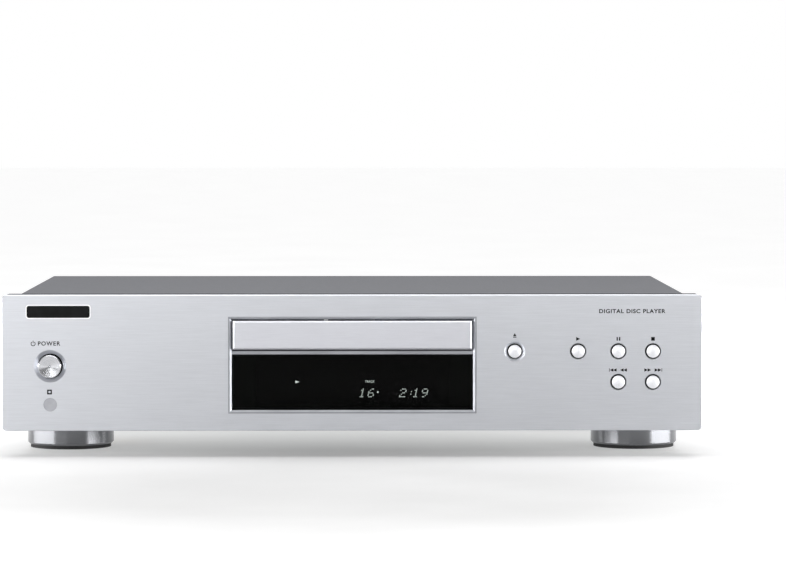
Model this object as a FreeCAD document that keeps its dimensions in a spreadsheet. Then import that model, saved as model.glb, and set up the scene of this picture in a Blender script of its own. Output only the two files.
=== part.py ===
import FreeCAD, Part
import math
import os
import re
import Sketcher

# A full-width compact disc player: an aluminium fascia on a plastic front frame, a folded steel
# chassis and cover on four round feet, and a drawer loader with its playing mechanism inside.
# Millimetres. X runs to the right seen from the front, the front faces -Y, Z is up, floor at Z = 0.

# ---------------------------------------------------------------- sizes
sizes = {
    # cabinet
    "panel_width": 435, "panel_low": 16.5, "panel_high": 101, "panel_corner": 3,
    "panel_edge": 0.4, "face_y": -147.5, "fascia_thick": 5,
    "frame_deep": 17, "frame_inset": 0.3, "frame_wall": 2.6, "web_gap": 3, "web_thick": 2,
    "tongue_half": 200, "tongue_top": 98.4, "tongue_thick": 1.6, "tongue_deep": 6,
    "cover_width": 419.5, "cover_top": 99.8, "cover_sheet": 0.8, "cover_low": 20,
    "cover_bend": 1.6, "cover_gap": 0.2, "cover_lip": 8, "rear_y": 142.5,
    "metal_thick": 1.2, "floor_low": 18, "chassis_half": 208.5, "chassis_front": -124.5,
    "side_flange": 12, "front_flange": 60, "flange_gap_half": 90, "panel_clear": 0.1,
    "rear_low": 19.4, "rear_high": 98.8, "rear_flange": 9,
    "vent_width": 3, "vent_length": 32, "vent_pitch": 8, "vent_count": 9,
    "vent_x": -190, "vent_y": -45, "vent_right_x": 118, "vent_right_y": 20,
    "standoff_radius": 3, "board_low": 26, "board_thick": 1.6,
    # drawer and display opening
    "opening_half": 76.1, "opening_low": 28.2, "opening_high": 86.3, "bezel_wall": 1,
    "bezel_proud": 0.3, "bezel_mouth": 1.2, "bezel_flange": 2.4, "fit_gap": 0.05,
    "window_half": 74.9, "window_low": 29.3, "window_high": 63.9, "window_back": 3.6,
    "window_thick": 2, "window_lip": 1.3, "drawer_low": 66, "drawer_high": 85.5,
    "door_half": 74.3, "door_low": 66.9, "door_high": 84.9, "door_front": -0.8,
    "door_thick": 5.9, "door_wall": 1.8, "door_edge": 0.9,
    # push buttons
    "key_radius": 4, "key_hole": 4.75, "key_proud": 1.5, "key_dome": 0.9, "key_collar": 5.6,
    "key_rim": 0.35, "row_high": 65.8, "row_low": 46.7,
    "eject_x": 100.8, "play_x": 140.2, "pause_x": 165.2, "stop_x": 186.7,
    "eject_dish": 6.45, "eject_deep": 0.9,
    "collar_near": 5.3, "collar_thick": 1, "stem_radius": 2, "stem_end": 12.2, "stem_hole": 2.7,
    "standby_x": -187.5, "standby_z": 56.7, "standby_radius": 7.1, "standby_hole": 7.8,
    "standby_dish": 10.1, "standby_deep": 1.6, "standby_proud": 4.5, "standby_cone": 0.8,
    "standby_bevel": 0.4, "standby_collar": 9.2, "dot_radius": 0.9, "dot_deep": 0.6,
    "sensor_z": 32.8, "sensor_radius": 4.2, "sensor_recess": 0.3, "sensor_flange": 5.5,
    "badge_x": -182.3, "badge_z": 90.5, "badge_width": 39,
    "badge_height": 7.5, "badge_thick": 0.6, "badge_corner": 1.4,
    # feet
    "foot_x": 180.8, "foot_front": -68.5, "foot_back": 100, "foot_radius": 27.5,
    "foot_low": 2.2, "foot_bevel": 1.2, "pad_radius": 25.7, "pad_deep": 1.2,
    "foot_bore": 8, "foot_web": 10,
    # disc, hub and drawer tray
    "hub_y": -71.5, "disc_radius": 60.5, "small_disc": 40.5, "disc_floor": 73.5,
    "small_floor": 72.7, "tray_half": 66, "tray_low": 71.5, "tray_high": 76.5,
    "tray_back": 35.5, "tray_wall": 2, "tray_wall_low": 67.5, "tray_wall_high": 83,
    "lug_half": 60, "lug_low": 69.2, "lug_high": 82.4, "slot_half": 20,
    "tongue_out": 68.5, "tongue_low": 72, "tongue_high": 74, "tongue_front": -128,
    "notch_half": 13, "notch_in": 50,
    # gears
    "gear_module": 1, "gear_tip": 0.8, "gear_root": 1.1, "gear_row": -110.5,
    "tray_gear_x": -46, "tray_gear_teeth": 24, "gear_low": 68.4, "gear_high": 71,
    "pinion_teeth": 14, "pulley_x": -27, "pulley_radius": 12.6, "belt_path": 11.6,
    "pulley_low": 66.4, "pulley_high": 68.2, "belt_width": 1, "belt_gap": 0.05,
    "motor_x": 20, "motor_y": -112, "motor_pulley_radius": 3.4, "motor_path": 2.4,
    "post_radius": 1.45, "bore_radius": 1.52, "shaft_radius": 1, "shaft_bore": 1.05,
    "rack_low": 68.2, "rack_width": 2.4, "rack_front": -118.5, "rack_back": 32,
    "rack_count": 47,
    # loader frame
    "loader_half": 71.7, "loader_wall": 2.5, "loader_front": -124.5, "loader_back": 52,
    "deck_low": 64, "deck_high": 66, "wall_low": 60, "wall_high": 84,
    "window_x": 57, "window_front": -98.5, "window_rear": 47,
    "rail_in": 66.6, "rail_low": 70, "rail_under": 71.5, "rail_over": 74.5, "rail_high": 76,
    "rib_half": 57, "rib_thick": 2.5, "rib_low": 50, "rib_front": -103,
    "cross_low": 44, "cross_back": -100.5, "rear_rib": 49.5,
    "guide_top": 45.6, "guide_deep": 5, "hook_high": 48, "hook_thick": 1.4,
    "bracket_thick": 1.2, "bracket_front": -95, "bracket_back": 35, "bracket_foot": 12,
    "bracket_high": 74, "bridge_low": 84, "bridge_half": 20, "bridge_hole": 15.5,
    "bridge_rim": 3.8,
    # clamp
    "puck_low": 76.4, "puck_radius": 14.6, "puck_flange": 18, "puck_flange_low": 85.6,
    "puck_high": 87.2, "puck_inner": 13.2, "puck_floor": 79, "puck_bore": 8.2,
    "magnet_high": 82.4,
    # playing mechanism
    "pivot_y": 44, "pivot_z": 62, "pin_radius": 1.5, "pin_hole": 1.56,
    "plate_low": 61, "plate_high": 63.5, "plate_half": 54, "plate_front": -95,
    "pick_window": 29, "pick_front": -64, "pick_back": 6,
    "spindle_hole": 4, "motor_radius": 12, "motor_low": 51, "shaft_low": 54.5,
    "table_low": 72, "table_high": 75, "table_radius": 15, "table_seat": 9, "nose_radius": 7.45,
    "nose_top": 77.5, "nose_tip": 5.8, "table_step": 0.5,
    "rod_x": 24, "rod_z": 66.3, "rod_radius": 1.5, "rod_hole": 1.57, "rod_front": -70,
    "rod_back": 22, "block_high": 69.2, "block_half": 1.6, "block_deep": 4,
    "pickup_y": -47.5, "pickup_half": 14, "pickup_side": 25.9, "pickup_low": 61.4,
    "pickup_mid": 69.3, "pickup_top": 72, "turret_half": 12, "turret_front": 6.5,
    "turret_back": 10, "lens_well": 6, "well_low": 69, "lens_half": 4.6, "lens_low": 69.8,
    "lens_plate": 71.6, "lens_radius": 2.6, "lens_top": 73.2,
    "sled_x": 39, "sled_y": -30, "sled_teeth": 20, "sled_pinion_y": -13,
    "sled_low": 64.2, "sled_high": 66.8, "sled_rack_x": 29, "sled_rack_front": -70,
    "sled_rack_back": -26, "sled_rack_count": 14,
    "cam_front": -100, "cam_thick": 2.4, "cam_left": -22, "cam_right": 10, "cam_low": 46,
    "cam_high": 63.6, "cam_pin_z": 58, "cam_slope": 0.6233, "cam_run": 12, "cam_slot": 2.2,
    "cam_over": 2.6, "tab_half": 5, "tab_low": 55, "pin_front": -100.2,
    # boards and connectors
    "switch_board_front": -130.5, "switch_half": 3, "switch_high": 3.5, "plunger_high": 0.45,
    "plunger_radius": 1.75, "key_board_left": 94, "key_board_right": 206, "key_board_low": 36,
    "key_board_high": 80, "boss_radius": 3, "standby_board_left": -206,
    "standby_board_right": -168, "standby_board_low": 24, "standby_board_high": 70,
    "display_board_half": 84, "display_board_low": 22, "display_board_high": 64.5,
    "display_board_front": -135, "tube_half": 60, "tube_low": 33, "tube_high": 60,
    "tube_front": -141.2, "main_left": 95, "main_right": 203, "main_front": -60,
    "main_back": 132, "power_left": -203, "power_right": -118, "power_front": 22,
    "power_back": 132, "core_left": -190, "core_front": -52, "core_width": 57,
    "core_deep": 48, "core_low": 22, "core_thick": 20, "core_leg": 19, "core_window": 9.5,
    "core_foot": 8, "coil_bulge": 9, "coil_gap": 0.3,
    "jack_proud": 9.5, "barrel_radius": 4.15, "barrel_bore": 1.7, "jack_pitch": 19,
    "collar_radius": 4.8, "collar_proud": 0.5,
    "jack_x": 150, "jack_z": 62, "jack_side": 8.2, "jack_body": 12, "jack_hole": 5,
    "digital_x": 108, "digital_half": 13, "digital_half_high": 6, "digital_z": 62,
    "digital_deep": 10, "inlet_x": -165, "inlet_z": 58,
    "inlet_half": 13, "inlet_half_high": 8, "inlet_deep": 20, "inlet_proud": 1.5,
    "inlet_lobe": 3.6, "inlet_pitch": 3.9, "inlet_cavity": 12, "contact_radius": 1.2,
    "rear_screw_z": 95, "ribbon_low": 21.2, "ribbon_thick": 0.3, "screw_head": 3.6,
    "screw_high": 2, "screw_shank": 1.4, "screw_long": 6,
}

doc = FreeCAD.newDocument("compact_disc_player")
sheet = doc.addObject("Spreadsheet::Sheet", "dim")
for row, (alias, amount) in enumerate(sizes.items(), start=1):
    sheet.set("A%d" % row, alias)
    sheet.set("B%d" % row, str(amount))
    sheet.setAlias("B%d" % row, alias)
doc.recompute()

nodes = []
flank_slope = math.tan(math.radians(20))
backlash = 0.12


# ---------------------------------------------------------------- small helpers
def link(text):
    """Put the sheet's name before each size named in an expression."""
    return re.sub(r"[a-z][a-z_0-9]*",
                  lambda word: "dim." + word.group() if word.group() in sizes else word.group(),
                  str(text))


def number(text):
    return float(sheet.evalExpression(link(text)))


def bind(item, **links):
    """Bind properties; a double underscore stands for the dot of a sub-property."""
    for name, text in links.items():
        item.setExpression(name.replace("__", "."), link(text))


def place(item, x="0", y="0", z="0"):
    bind(item, Placement__Base__x=x, Placement__Base__y=y, Placement__Base__z=z)


def node(item):
    nodes.append(item)
    return item


def new_body(label):
    return node(doc.addObject("PartDesign::Body", label))


def new_sketch(body, name, plane, shift):
    sketch = body.newObject("Sketcher::SketchObject", name)
    base = next(item for item in body.Origin.OriginFeatures if item.Role == plane)
    sketch.AttachmentSupport = [(base, "")]
    sketch.MapMode = "FlatFace"
    for axis, text in zip("xyz", shift):
        sketch.setExpression("AttachmentOffset.Base." + axis, link(text))
    return sketch


def fix_point(sketch, edge, point, x, y):
    for kind, text in (("DistanceX", x), ("DistanceY", y)):
        index = sketch.addConstraint(Sketcher.Constraint(kind, -1, 1, edge, point, number(text)))
        sketch.setExpression("Constraints[%d]" % index, link(text))


def draw_circle(sketch, x, y, radius):
    centre = FreeCAD.Vector(number(x), number(y), 0)
    edge = sketch.addGeometry(Part.Circle(centre, FreeCAD.Vector(0, 0, 1), number(radius)))
    fix_point(sketch, edge, 3, x, y)
    index = sketch.addConstraint(Sketcher.Constraint("Radius", edge, number(radius)))
    sketch.setExpression("Constraints[%d]" % index, link(radius))


def draw_polygon(sketch, corners):
    """Closed outline. A corner with five entries starts an arc: (x, y, via x, via y, radius)."""
    spots = [FreeCAD.Vector(number(c[0]), number(c[1]), 0) for c in corners]
    ends = []
    for here, there, corner in zip(spots, spots[1:] + spots[:1], corners):
        if len(corner) == 2:
            edge = sketch.addGeometry(Part.LineSegment(here, there))
            ends.append((edge, 1, 2))
            continue
        via = FreeCAD.Vector(number(corner[2]), number(corner[3]), 0)
        arc = Part.Arc(here, via, there)
        edge = sketch.addGeometry(arc)
        forward = sketch.getPoint(edge, 1).isEqual(here, 1e-6)
        ends.append((edge, 1, 2) if forward else (edge, 2, 1))
    for (edge, first, last), (following, start, _), corner in zip(ends, ends[1:] + ends[:1], corners):
        sketch.addConstraint(Sketcher.Constraint("Coincident", edge, last, following, start))
        fix_point(sketch, edge, first, corner[0], corner[1])
        if len(corner) == 5:
            index = sketch.addConstraint(Sketcher.Constraint("Radius", edge, number(corner[4])))
            sketch.setExpression("Constraints[%d]" % index, link(corner[4]))


def draw(sketch, outlines):
    """A list is a polygon, a tuple is a circle (x, y, radius)."""
    for outline in outlines:
        if isinstance(outline, list):
            draw_polygon(sketch, outline)
        else:
            draw_circle(sketch, *outline)


def rect(left, right, low, high):
    return [(left, low), (right, low), (right, high), (left, high)]


def wide(half, low, high):
    """Rectangle centred left to right."""
    return rect("-(%s)" % half, half, low, high)


def plane_shift(plane, level):
    return ("0", "0", "-(%s)" % level if plane == "XZ_Plane" else level)


def add(body, name, plane, low, high, *outlines):
    """Pad outlines from one level of the plane's axis up to another."""
    sketch = new_sketch(body, name + "_sketch", plane, plane_shift(plane, low))
    draw(sketch, outlines)
    pad = body.newObject("PartDesign::Pad", name)
    pad.Profile = sketch
    pad.Reversed = plane == "XZ_Plane"
    bind(pad, Length="(%s) - (%s)" % (high, low))
    body.Tip = pad
    return pad


def cut(body, name, plane, low, high, *outlines, taper=None):
    """Pocket outlines from one level of the plane's axis up to another."""
    sketch = new_sketch(body, name + "_sketch", plane, plane_shift(plane, low))
    draw(sketch, outlines)
    pocket = body.newObject("PartDesign::Pocket", name)
    pocket.Profile = sketch
    pocket.Reversed = plane != "XZ_Plane"
    bind(pocket, Length="(%s) - (%s)" % (high, low))
    if taper:
        bind(pocket, TaperAngle=taper)
    body.Tip = pocket
    return pocket


def turn(body, name, kind, axis, across, along, profile):
    """Turn a profile of (radius, level) corners about the Y or Z line through two coordinates."""
    plane = "XY_Plane" if axis == "Y" else "XZ_Plane"
    shift = (across, "0", along if axis == "Y" else "-(%s)" % along)
    sketch = new_sketch(body, name + "_sketch", plane, shift)
    draw_polygon(sketch, profile)
    feature = body.newObject("PartDesign::" + kind, name)
    feature.Profile = sketch
    feature.ReferenceAxis = (sketch, ["V_Axis"])
    feature.Angle = 360
    body.Tip = feature
    return feature


def edge_names(shape, wanted):
    return ["Edge%d" % (index + 1) for index, edge in enumerate(shape.Edges) if wanted(edge)]


def dress(body, kind, name, size, wanted):
    """Fillet or chamfer the chosen edges of the body so far."""
    doc.recompute()
    base = body.Tip
    feature = body.newObject("PartDesign::" + kind, name)
    feature.Base = (base, edge_names(base.Shape, wanted))
    bind(feature, **{"Radius" if kind == "Fillet" else "Size": size})
    body.Tip = feature
    return feature


def runs_along(edge, axis):
    if edge.Curve.TypeId != "Part::GeomLine":
        return False
    way = edge.tangentAt(edge.FirstParameter)
    return abs(getattr(way, axis)) > 0.999


def repeat_round(body, name, original, sketch, count):
    pattern = body.newObject("PartDesign::PolarPattern", name)
    pattern.Originals = [original]
    pattern.Axis = (sketch, ["N_Axis"])
    pattern.Angle = 360
    bind(pattern, Occurrences=count)
    body.Tip = pattern


def repeat_line(body, name, original, sketch, axis, pitch, count):
    pattern = body.newObject("PartDesign::LinearPattern", name)
    pattern.Originals = [original]
    pattern.Direction = (sketch, [axis])
    bind(pattern, Length="(%s) * (%s - 1)" % (pitch, count), Occurrences=count)
    body.Tip = pattern


def block(name, x_low, x_high, y_low, y_high, z_low, z_high):
    box = doc.addObject("Part::Box", name)
    bind(box, Length="(%s) - (%s)" % (x_high, x_low), Width="(%s) - (%s)" % (y_high, y_low),
         Height="(%s) - (%s)" % (z_high, z_low))
    place(box, x_low, y_low, z_low)
    return box


def rod(name, axis, spot, radius, low, high):
    """Cylinder along an axis; spot gives the other two coordinates in X, Y, Z order."""
    cylinder = doc.addObject("Part::Cylinder", name)
    bind(cylinder, Radius=radius, Height="(%s) - (%s)" % (high, low))
    first, second = spot
    if axis == "X":
        cylinder.Placement.Rotation = FreeCAD.Rotation(FreeCAD.Vector(0, 1, 0), 90)
        place(cylinder, low, first, second)
    elif axis == "Y":
        cylinder.Placement.Rotation = FreeCAD.Rotation(FreeCAD.Vector(1, 0, 0), -90)
        place(cylinder, first, low, second)
    else:
        place(cylinder, first, second, low)
    return cylinder


def fuse(label, shapes):
    joined = doc.addObject("Part::MultiFuse", label)
    joined.Shapes = shapes
    joined.Refine = True
    return joined


def carve(label, base, tools):
    result = doc.addObject("Part::Cut", label)
    result.Base = base
    result.Tool = tools[0] if len(tools) == 1 else fuse(label + "_tools", tools)
    return result


def group(label, shapes):
    bundle = doc.addObject("Part::Compound", label)
    bundle.Links = shapes
    return node(bundle)


# ---------------------------------------------------------------- gear teeth
def gap_outline(teeth):
    """Gap between two involute teeth, centred on the X axis, in modules."""
    pitch = teeth / 2
    base = pitch * math.cos(math.radians(20))
    tip = pitch + sizes["gear_tip"]
    root = pitch - sizes["gear_root"]

    def involute(radius):
        angle = math.acos(min(1, base / radius))
        return math.tan(angle) - angle

    def half_gap(radius):
        tooth = (math.pi / 2 - backlash) / (2 * pitch) + involute(pitch)
        return math.pi / teeth - tooth + involute(max(radius, base))

    levels = [root, max(root + 0.05, min(base, pitch - 0.3)), pitch - 0.1, pitch + 0.4, tip]
    upper = [(radius * math.cos(half_gap(radius)), radius * math.sin(half_gap(radius)))
             for radius in levels]
    upper.append((upper[-1][0] + 1, upper[-1][1] + 0.5))
    corners = upper + [(x, -y) for x, y in reversed(upper)]
    return [("%.5f * gear_module" % x, "%.5f * gear_module" % y) for x, y in corners]


def cut_teeth(body, teeth_name, low, high):
    gap = cut(body, body.Label + "_gap", "XY_Plane", low, high, gap_outline(sizes[teeth_name]))
    repeat_round(body, body.Label + "_teeth", gap, gap.Profile[0], teeth_name)


def add_rack(body, name, pitch_x, first_y, low, high, count):
    """Straight teeth facing +X, the first one centred on first_y."""
    half = (math.pi / 2 - backlash) / 2
    root = half + sizes["gear_root"] * flank_slope
    tip = half - sizes["gear_tip"] * flank_slope
    inner = "%s - gear_root" % pitch_x
    outer = "%s + gear_tip" % pitch_x
    tooth = add(body, name + "_tooth", "XY_Plane", low, high,
                [(inner, "%s - %.5f" % (first_y, root)), (outer, "%s - %.5f" % (first_y, tip)),
                 (outer, "%s + %.5f" % (first_y, tip)), (inner, "%s + %.5f" % (first_y, root))])
    pitch = "%.6f * gear_module" % math.pi
    repeat_line(body, name + "_teeth", tooth, tooth.Profile[0], "V_Axis", pitch, count)


# ---------------------------------------------------------------- front of the cabinet
keys = {
    "eject_button": ("eject_x", "row_high"),
    "play_button": ("play_x", "row_high"),
    "pause_button": ("pause_x", "row_high"),
    "stop_button": ("stop_x", "row_high"),
    "back_button": ("pause_x", "row_low"),
    "forward_button": ("stop_x", "row_low"),
}


def make_front_panel():
    body = new_body("front_panel")
    back = "face_y + fascia_thick"
    add(body, "fascia", "XZ_Plane", "face_y", back, wide("panel_width / 2", "panel_low", "panel_high"))
    dress(body, "Fillet", "fascia_corners", "panel_corner", lambda edge: runs_along(edge, "y"))
    dress(body, "Chamfer", "fascia_edge", "panel_edge",
          lambda edge: edge.BoundBox.YMax < number("face_y") + 0.01)
    side = "opening_half + bezel_wall + fit_gap"
    cut(body, "opening", "XZ_Plane", "face_y", back,
        wide(side, "opening_low - bezel_wall - fit_gap", "opening_high + bezel_wall + fit_gap"))
    holes = [(x, z, "key_hole") for x, z in keys.values()]
    holes.append(("standby_x", "standby_z", "standby_hole"))
    holes.append(("standby_x", "sensor_z", "sensor_radius"))
    cut(body, "holes", "XZ_Plane", "face_y", back, *holes)
    turn(body, "eject_dish_cut", "Groove", "Y", "eject_x", "row_high",
         [("0", "face_y"), ("eject_dish", "face_y"), ("key_hole", "face_y + eject_deep"),
          ("0", "face_y + eject_deep")])
    turn(body, "standby_dish_cut", "Groove", "Y", "standby_x", "standby_z",
         [("0", "face_y"), ("standby_dish", "face_y"), ("standby_hole", "face_y + standby_deep"),
          ("0", "face_y + standby_deep")])
    rim = number("key_hole")
    dress(body, "Chamfer", "key_rims", "key_rim",
          lambda edge: (edge.Curve.TypeId == "Part::GeomCircle" and abs(edge.Curve.Radius - rim) < 0.01
                        and abs(edge.Curve.Center.y - number("face_y")) < 0.01))


def make_front_frame():
    body = new_body("front_frame")
    front = "face_y + fascia_thick"
    back = front + " + frame_deep"
    web_front = front + " + web_gap"
    web_back = web_front + " + web_thick"
    outer = "panel_width / 2 - frame_inset"
    inner = outer + " - frame_wall"
    add(body, "shell", "XZ_Plane", front, back,
        wide(outer, "panel_low + frame_inset", "panel_high - frame_inset"))
    dress(body, "Fillet", "shell_corners", "panel_corner", lambda edge: runs_along(edge, "y"))
    hollow = wide(inner, "panel_low + frame_inset + frame_wall", "panel_high - frame_inset - frame_wall")
    cut(body, "front_hollow", "XZ_Plane", front, web_front, hollow)
    cut(body, "rear_hollow", "XZ_Plane", web_back, back, hollow)
    cut(body, "web_opening", "XZ_Plane", web_front, web_back,
        wide("opening_half - 0.6", "opening_low + 0.6", "opening_high - 0.3"))
    guides = [(x, z, "stem_hole") for x, z in keys.values()]
    guides.append(("standby_x", "standby_z", "stem_hole"))
    guides.append(("standby_x", "sensor_z", "sensor_radius"))
    cut(body, "stem_guides", "XZ_Plane", web_front, web_back, *guides)
    add(body, "fascia_pads", "XZ_Plane", front, web_front + " + 0.5",
        *[(x, z, "boss_radius") for x in ("-205", "-110", "115", "205") for z in ("27", "91")])
    bosses = [(x, z, "boss_radius") for x in ("key_board_left + 5", "key_board_right - 5")
              for z in ("key_board_low + 5", "key_board_high - 5")]
    bosses += [("standby_board_left + 5", "standby_board_low + 5", "boss_radius"),
               ("standby_board_right - 4", "standby_board_high - 5", "boss_radius")]
    add(body, "board_bosses", "XZ_Plane", web_back + " - 0.5", "switch_board_front", *bosses)
    add(body, "display_bosses", "XZ_Plane", web_back + " - 0.5", "display_board_front",
        *[(x, z, "boss_radius") for x in ("-display_board_half + 3.5", "display_board_half - 3.5")
          for z in ("display_board_low + 6", "display_board_high - 6")])
    add(body, "cover_tongue", "XZ_Plane", web_back, back + " + tongue_deep",
        wide("tongue_half", "tongue_top - tongue_thick", "tongue_top"))


def make_opening_bezel():
    body = new_body("opening_bezel")
    front = "face_y - bezel_proud"
    seat = "face_y + fascia_thick"
    back = seat + " + web_gap"
    add(body, "ring", "XZ_Plane", front, back,
        wide("opening_half + bezel_wall", "opening_low - bezel_wall", "opening_high + bezel_wall"))
    add(body, "flange", "XZ_Plane", seat, back,
        wide("opening_half + bezel_wall + bezel_flange", "opening_low - bezel_wall - bezel_flange",
             "opening_high + bezel_wall + bezel_flange"))
    cut(body, "mouth", "XZ_Plane", front, front + " + bezel_mouth",
        wide("opening_half", "opening_low", "opening_high"), taper="-45")
    window_back = "face_y + window_back"
    cut(body, "window_seat", "XZ_Plane", front, window_back,
        wide("window_half + fit_gap", "window_low - fit_gap", "window_high + fit_gap"))
    cut(body, "window_light", "XZ_Plane", window_back, back,
        wide("window_half - window_lip", "window_low + window_lip", "window_high - window_lip"))
    cut(body, "drawer_mouth", "XZ_Plane", front, back, wide("window_half", "drawer_low", "drawer_high"))


def make_display_window():
    body = new_body("display_window")
    back = "face_y + window_back"
    add(body, "pane", "XZ_Plane", back + " - window_thick", back,
        wide("window_half", "window_low", "window_high"))


def make_badge_and_sensor():
    badge = new_body("name_badge")
    add(badge, "badge_plate", "XZ_Plane", "face_y - badge_thick", "face_y",
        rect("badge_x - badge_width / 2", "badge_x + badge_width / 2",
             "badge_z - badge_height / 2", "badge_z + badge_height / 2"))
    dress(badge, "Fillet", "badge_corners", "badge_corner", lambda edge: runs_along(edge, "y"))
    sensor = new_body("remote_window")
    seat = "face_y + fascia_thick"
    turn(sensor, "plug", "Revolution", "Y", "standby_x", "sensor_z",
         [("0", "face_y + sensor_recess"), ("sensor_radius - fit_gap", "face_y + sensor_recess"),
          ("sensor_radius - fit_gap", seat), ("sensor_flange", seat),
          ("sensor_flange", seat + " + 1"), ("0", seat + " + 1")])


def make_buttons():
    """Domed caps with a collar behind the fascia and a stem reaching the switch."""
    collar = ["collar_near", "collar_near + collar_thick"]
    for label, (x, z) in keys.items():
        body = new_body(label)
        place(body, x, "face_y", z)
        dome_top = "-(key_proud + key_dome)"
        dome_radius = "(key_radius ^ 2 + key_dome ^ 2) / (2 * key_dome)"
        half_drop = "key_radius / 2"
        sag = "(%s) - sqrt((%s) ^ 2 - (%s) ^ 2)" % (dome_radius, dome_radius, half_drop)
        turn(body, label + "_cap", "Revolution", "Y", "0", "0",
             [("0", dome_top, half_drop, "%s + %s" % (dome_top, sag), dome_radius),
              ("key_radius", "-key_proud"), ("key_radius", collar[0]), ("key_collar", collar[0]),
              ("key_collar", collar[1]), ("stem_radius", collar[1]), ("stem_radius", "stem_end"),
              ("0", "stem_end")])
    body = new_body("standby_button")
    place(body, "standby_x", "face_y", "standby_z")
    centre = "-standby_proud + standby_cone"
    turn(body, "standby_cap", "Revolution", "Y", "0", "0",
         [("0", centre + " + dot_deep"), ("dot_radius / 2", centre + " + dot_deep"),
          ("dot_radius", centre), ("standby_radius - standby_bevel", "-standby_proud"),
          ("standby_radius", "-standby_proud + standby_bevel"), ("standby_radius", collar[0]),
          ("standby_collar", collar[0]), ("standby_collar", collar[1]),
          ("stem_radius", collar[1]), ("stem_radius", "stem_end"), ("0", "stem_end")])


# ---------------------------------------------------------------- cabinet metalwork
cover_screw_side = [(y, "60") for y in ("-60", "90")]
rear_screw_x = ("-150", "0", "60", "180")
loader_foot_x = ("-(loader_half + bracket_thick + 6)", "loader_half + bracket_thick + 6")
loader_foot_y = ("bracket_front + 15", "bracket_back - 15")
bridge_screws = [(x, y) for x in ("-(loader_half - 4)", "loader_half - 4")
                 for y in ("hub_y - 15", "hub_y + 15")]


def make_top_cover():
    body = new_body("top_cover")
    half = "cover_width / 2"
    inner = half + " - cover_sheet"
    under = "cover_top - cover_sheet"
    front = "face_y + fascia_thick + frame_deep + cover_gap"
    add(body, "folded_sheet", "XZ_Plane", front, "rear_y",
        [("-" + half, "cover_low"), ("-(%s)" % inner, "cover_low"), ("-(%s)" % inner, under),
         (inner, under), (inner, "cover_low"), (half, "cover_low"), (half, "cover_top"),
         ("-" + half, "cover_top")])
    top = number("cover_top")
    dress(body, "Fillet", "bends", "cover_bend",
          lambda edge: runs_along(edge, "y") and edge.BoundBox.ZMin > top - 0.01)
    lip_back = "rear_y - metal_thick - panel_clear"
    add(body, "rear_lip", "XZ_Plane", lip_back + " - cover_sheet", lip_back,
        wide(inner + " - 1", under + " - cover_lip", under + " + 0.1"))
    cut(body, "lip_screw_holes", "XZ_Plane", lip_back + " - cover_sheet", lip_back,
        *[(x, "rear_screw_z", "screw_shank") for x in rear_screw_x])
    cut(body, "left_screw_holes", "YZ_Plane", "-" + half, "-(%s)" % inner,
        *[(y, z, "screw_shank + 0.2") for y, z in cover_screw_side])
    cut(body, "right_screw_holes", "YZ_Plane", inner, half,
        *[(y, z, "screw_shank + 0.2") for y, z in cover_screw_side])


def make_chassis():
    body = new_body("chassis_base")
    floor_high = "floor_low + metal_thick"
    back = "rear_y - metal_thick - panel_clear"
    add(body, "floor", "XY_Plane", "floor_low", floor_high, wide("chassis_half", "chassis_front", back))
    inner = "chassis_half - metal_thick"
    add(body, "side_flanges", "XY_Plane", "floor_low", floor_high + " + side_flange",
        rect("-chassis_half", "-(%s)" % inner, "chassis_front", back),
        rect(inner, "chassis_half", "chassis_front", back))
    add(body, "front_flanges", "XY_Plane", "floor_low", floor_high + " + front_flange",
        rect("-chassis_half", "-flange_gap_half", "chassis_front", "chassis_front + metal_thick"),
        rect("flange_gap_half", "chassis_half", "chassis_front", "chassis_front + metal_thick"))
    add(body, "rear_flange_strip", "XY_Plane", "floor_low", floor_high + " + side_flange",
        wide("chassis_half", back + " - metal_thick", back))
    slot = cut(body, "left_vent", "XY_Plane", "floor_low", floor_high,
               rect("vent_x", "vent_x + vent_width", "vent_y", "vent_y + vent_length"))
    repeat_line(body, "left_vents", slot, slot.Profile[0], "H_Axis", "vent_pitch", "vent_count")
    slot = cut(body, "right_vent", "XY_Plane", "floor_low", floor_high,
               rect("vent_right_x", "vent_right_x + vent_width", "vent_right_y",
                    "vent_right_y + vent_length"))
    repeat_line(body, "right_vents", slot, slot.Profile[0], "H_Axis", "vent_pitch", "vent_count")
    posts = [(x, y, "standoff_radius") for x in ("main_left + 6", "main_right - 6")
             for y in ("main_front + 6", "main_back - 14")]
    posts += [(x, y, "standoff_radius") for x in ("power_left + 6", "power_right - 6")
              for y in ("power_front + 6", "power_back - 14")]
    add(body, "standoffs", "XY_Plane", floor_high + " - 0.2", "board_low", *posts)
    columns = [(x, "core_front + core_deep / 2", "standoff_radius")
               for x in ("core_left - core_foot / 2", "core_left + core_width + core_foot / 2")]
    add(body, "core_posts", "XY_Plane", floor_high + " - 0.2", "core_low", *columns)
    cut(body, "loader_screw_holes", "XY_Plane", "floor_low", floor_high,
        *[(x, y, "screw_shank") for x in loader_foot_x for y in loader_foot_y])
    cut(body, "ribbon_notch", "XZ_Plane", "chassis_front", "chassis_front + metal_thick",
        rect("138", "154", floor_high, "ribbon_low + 2"))


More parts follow.
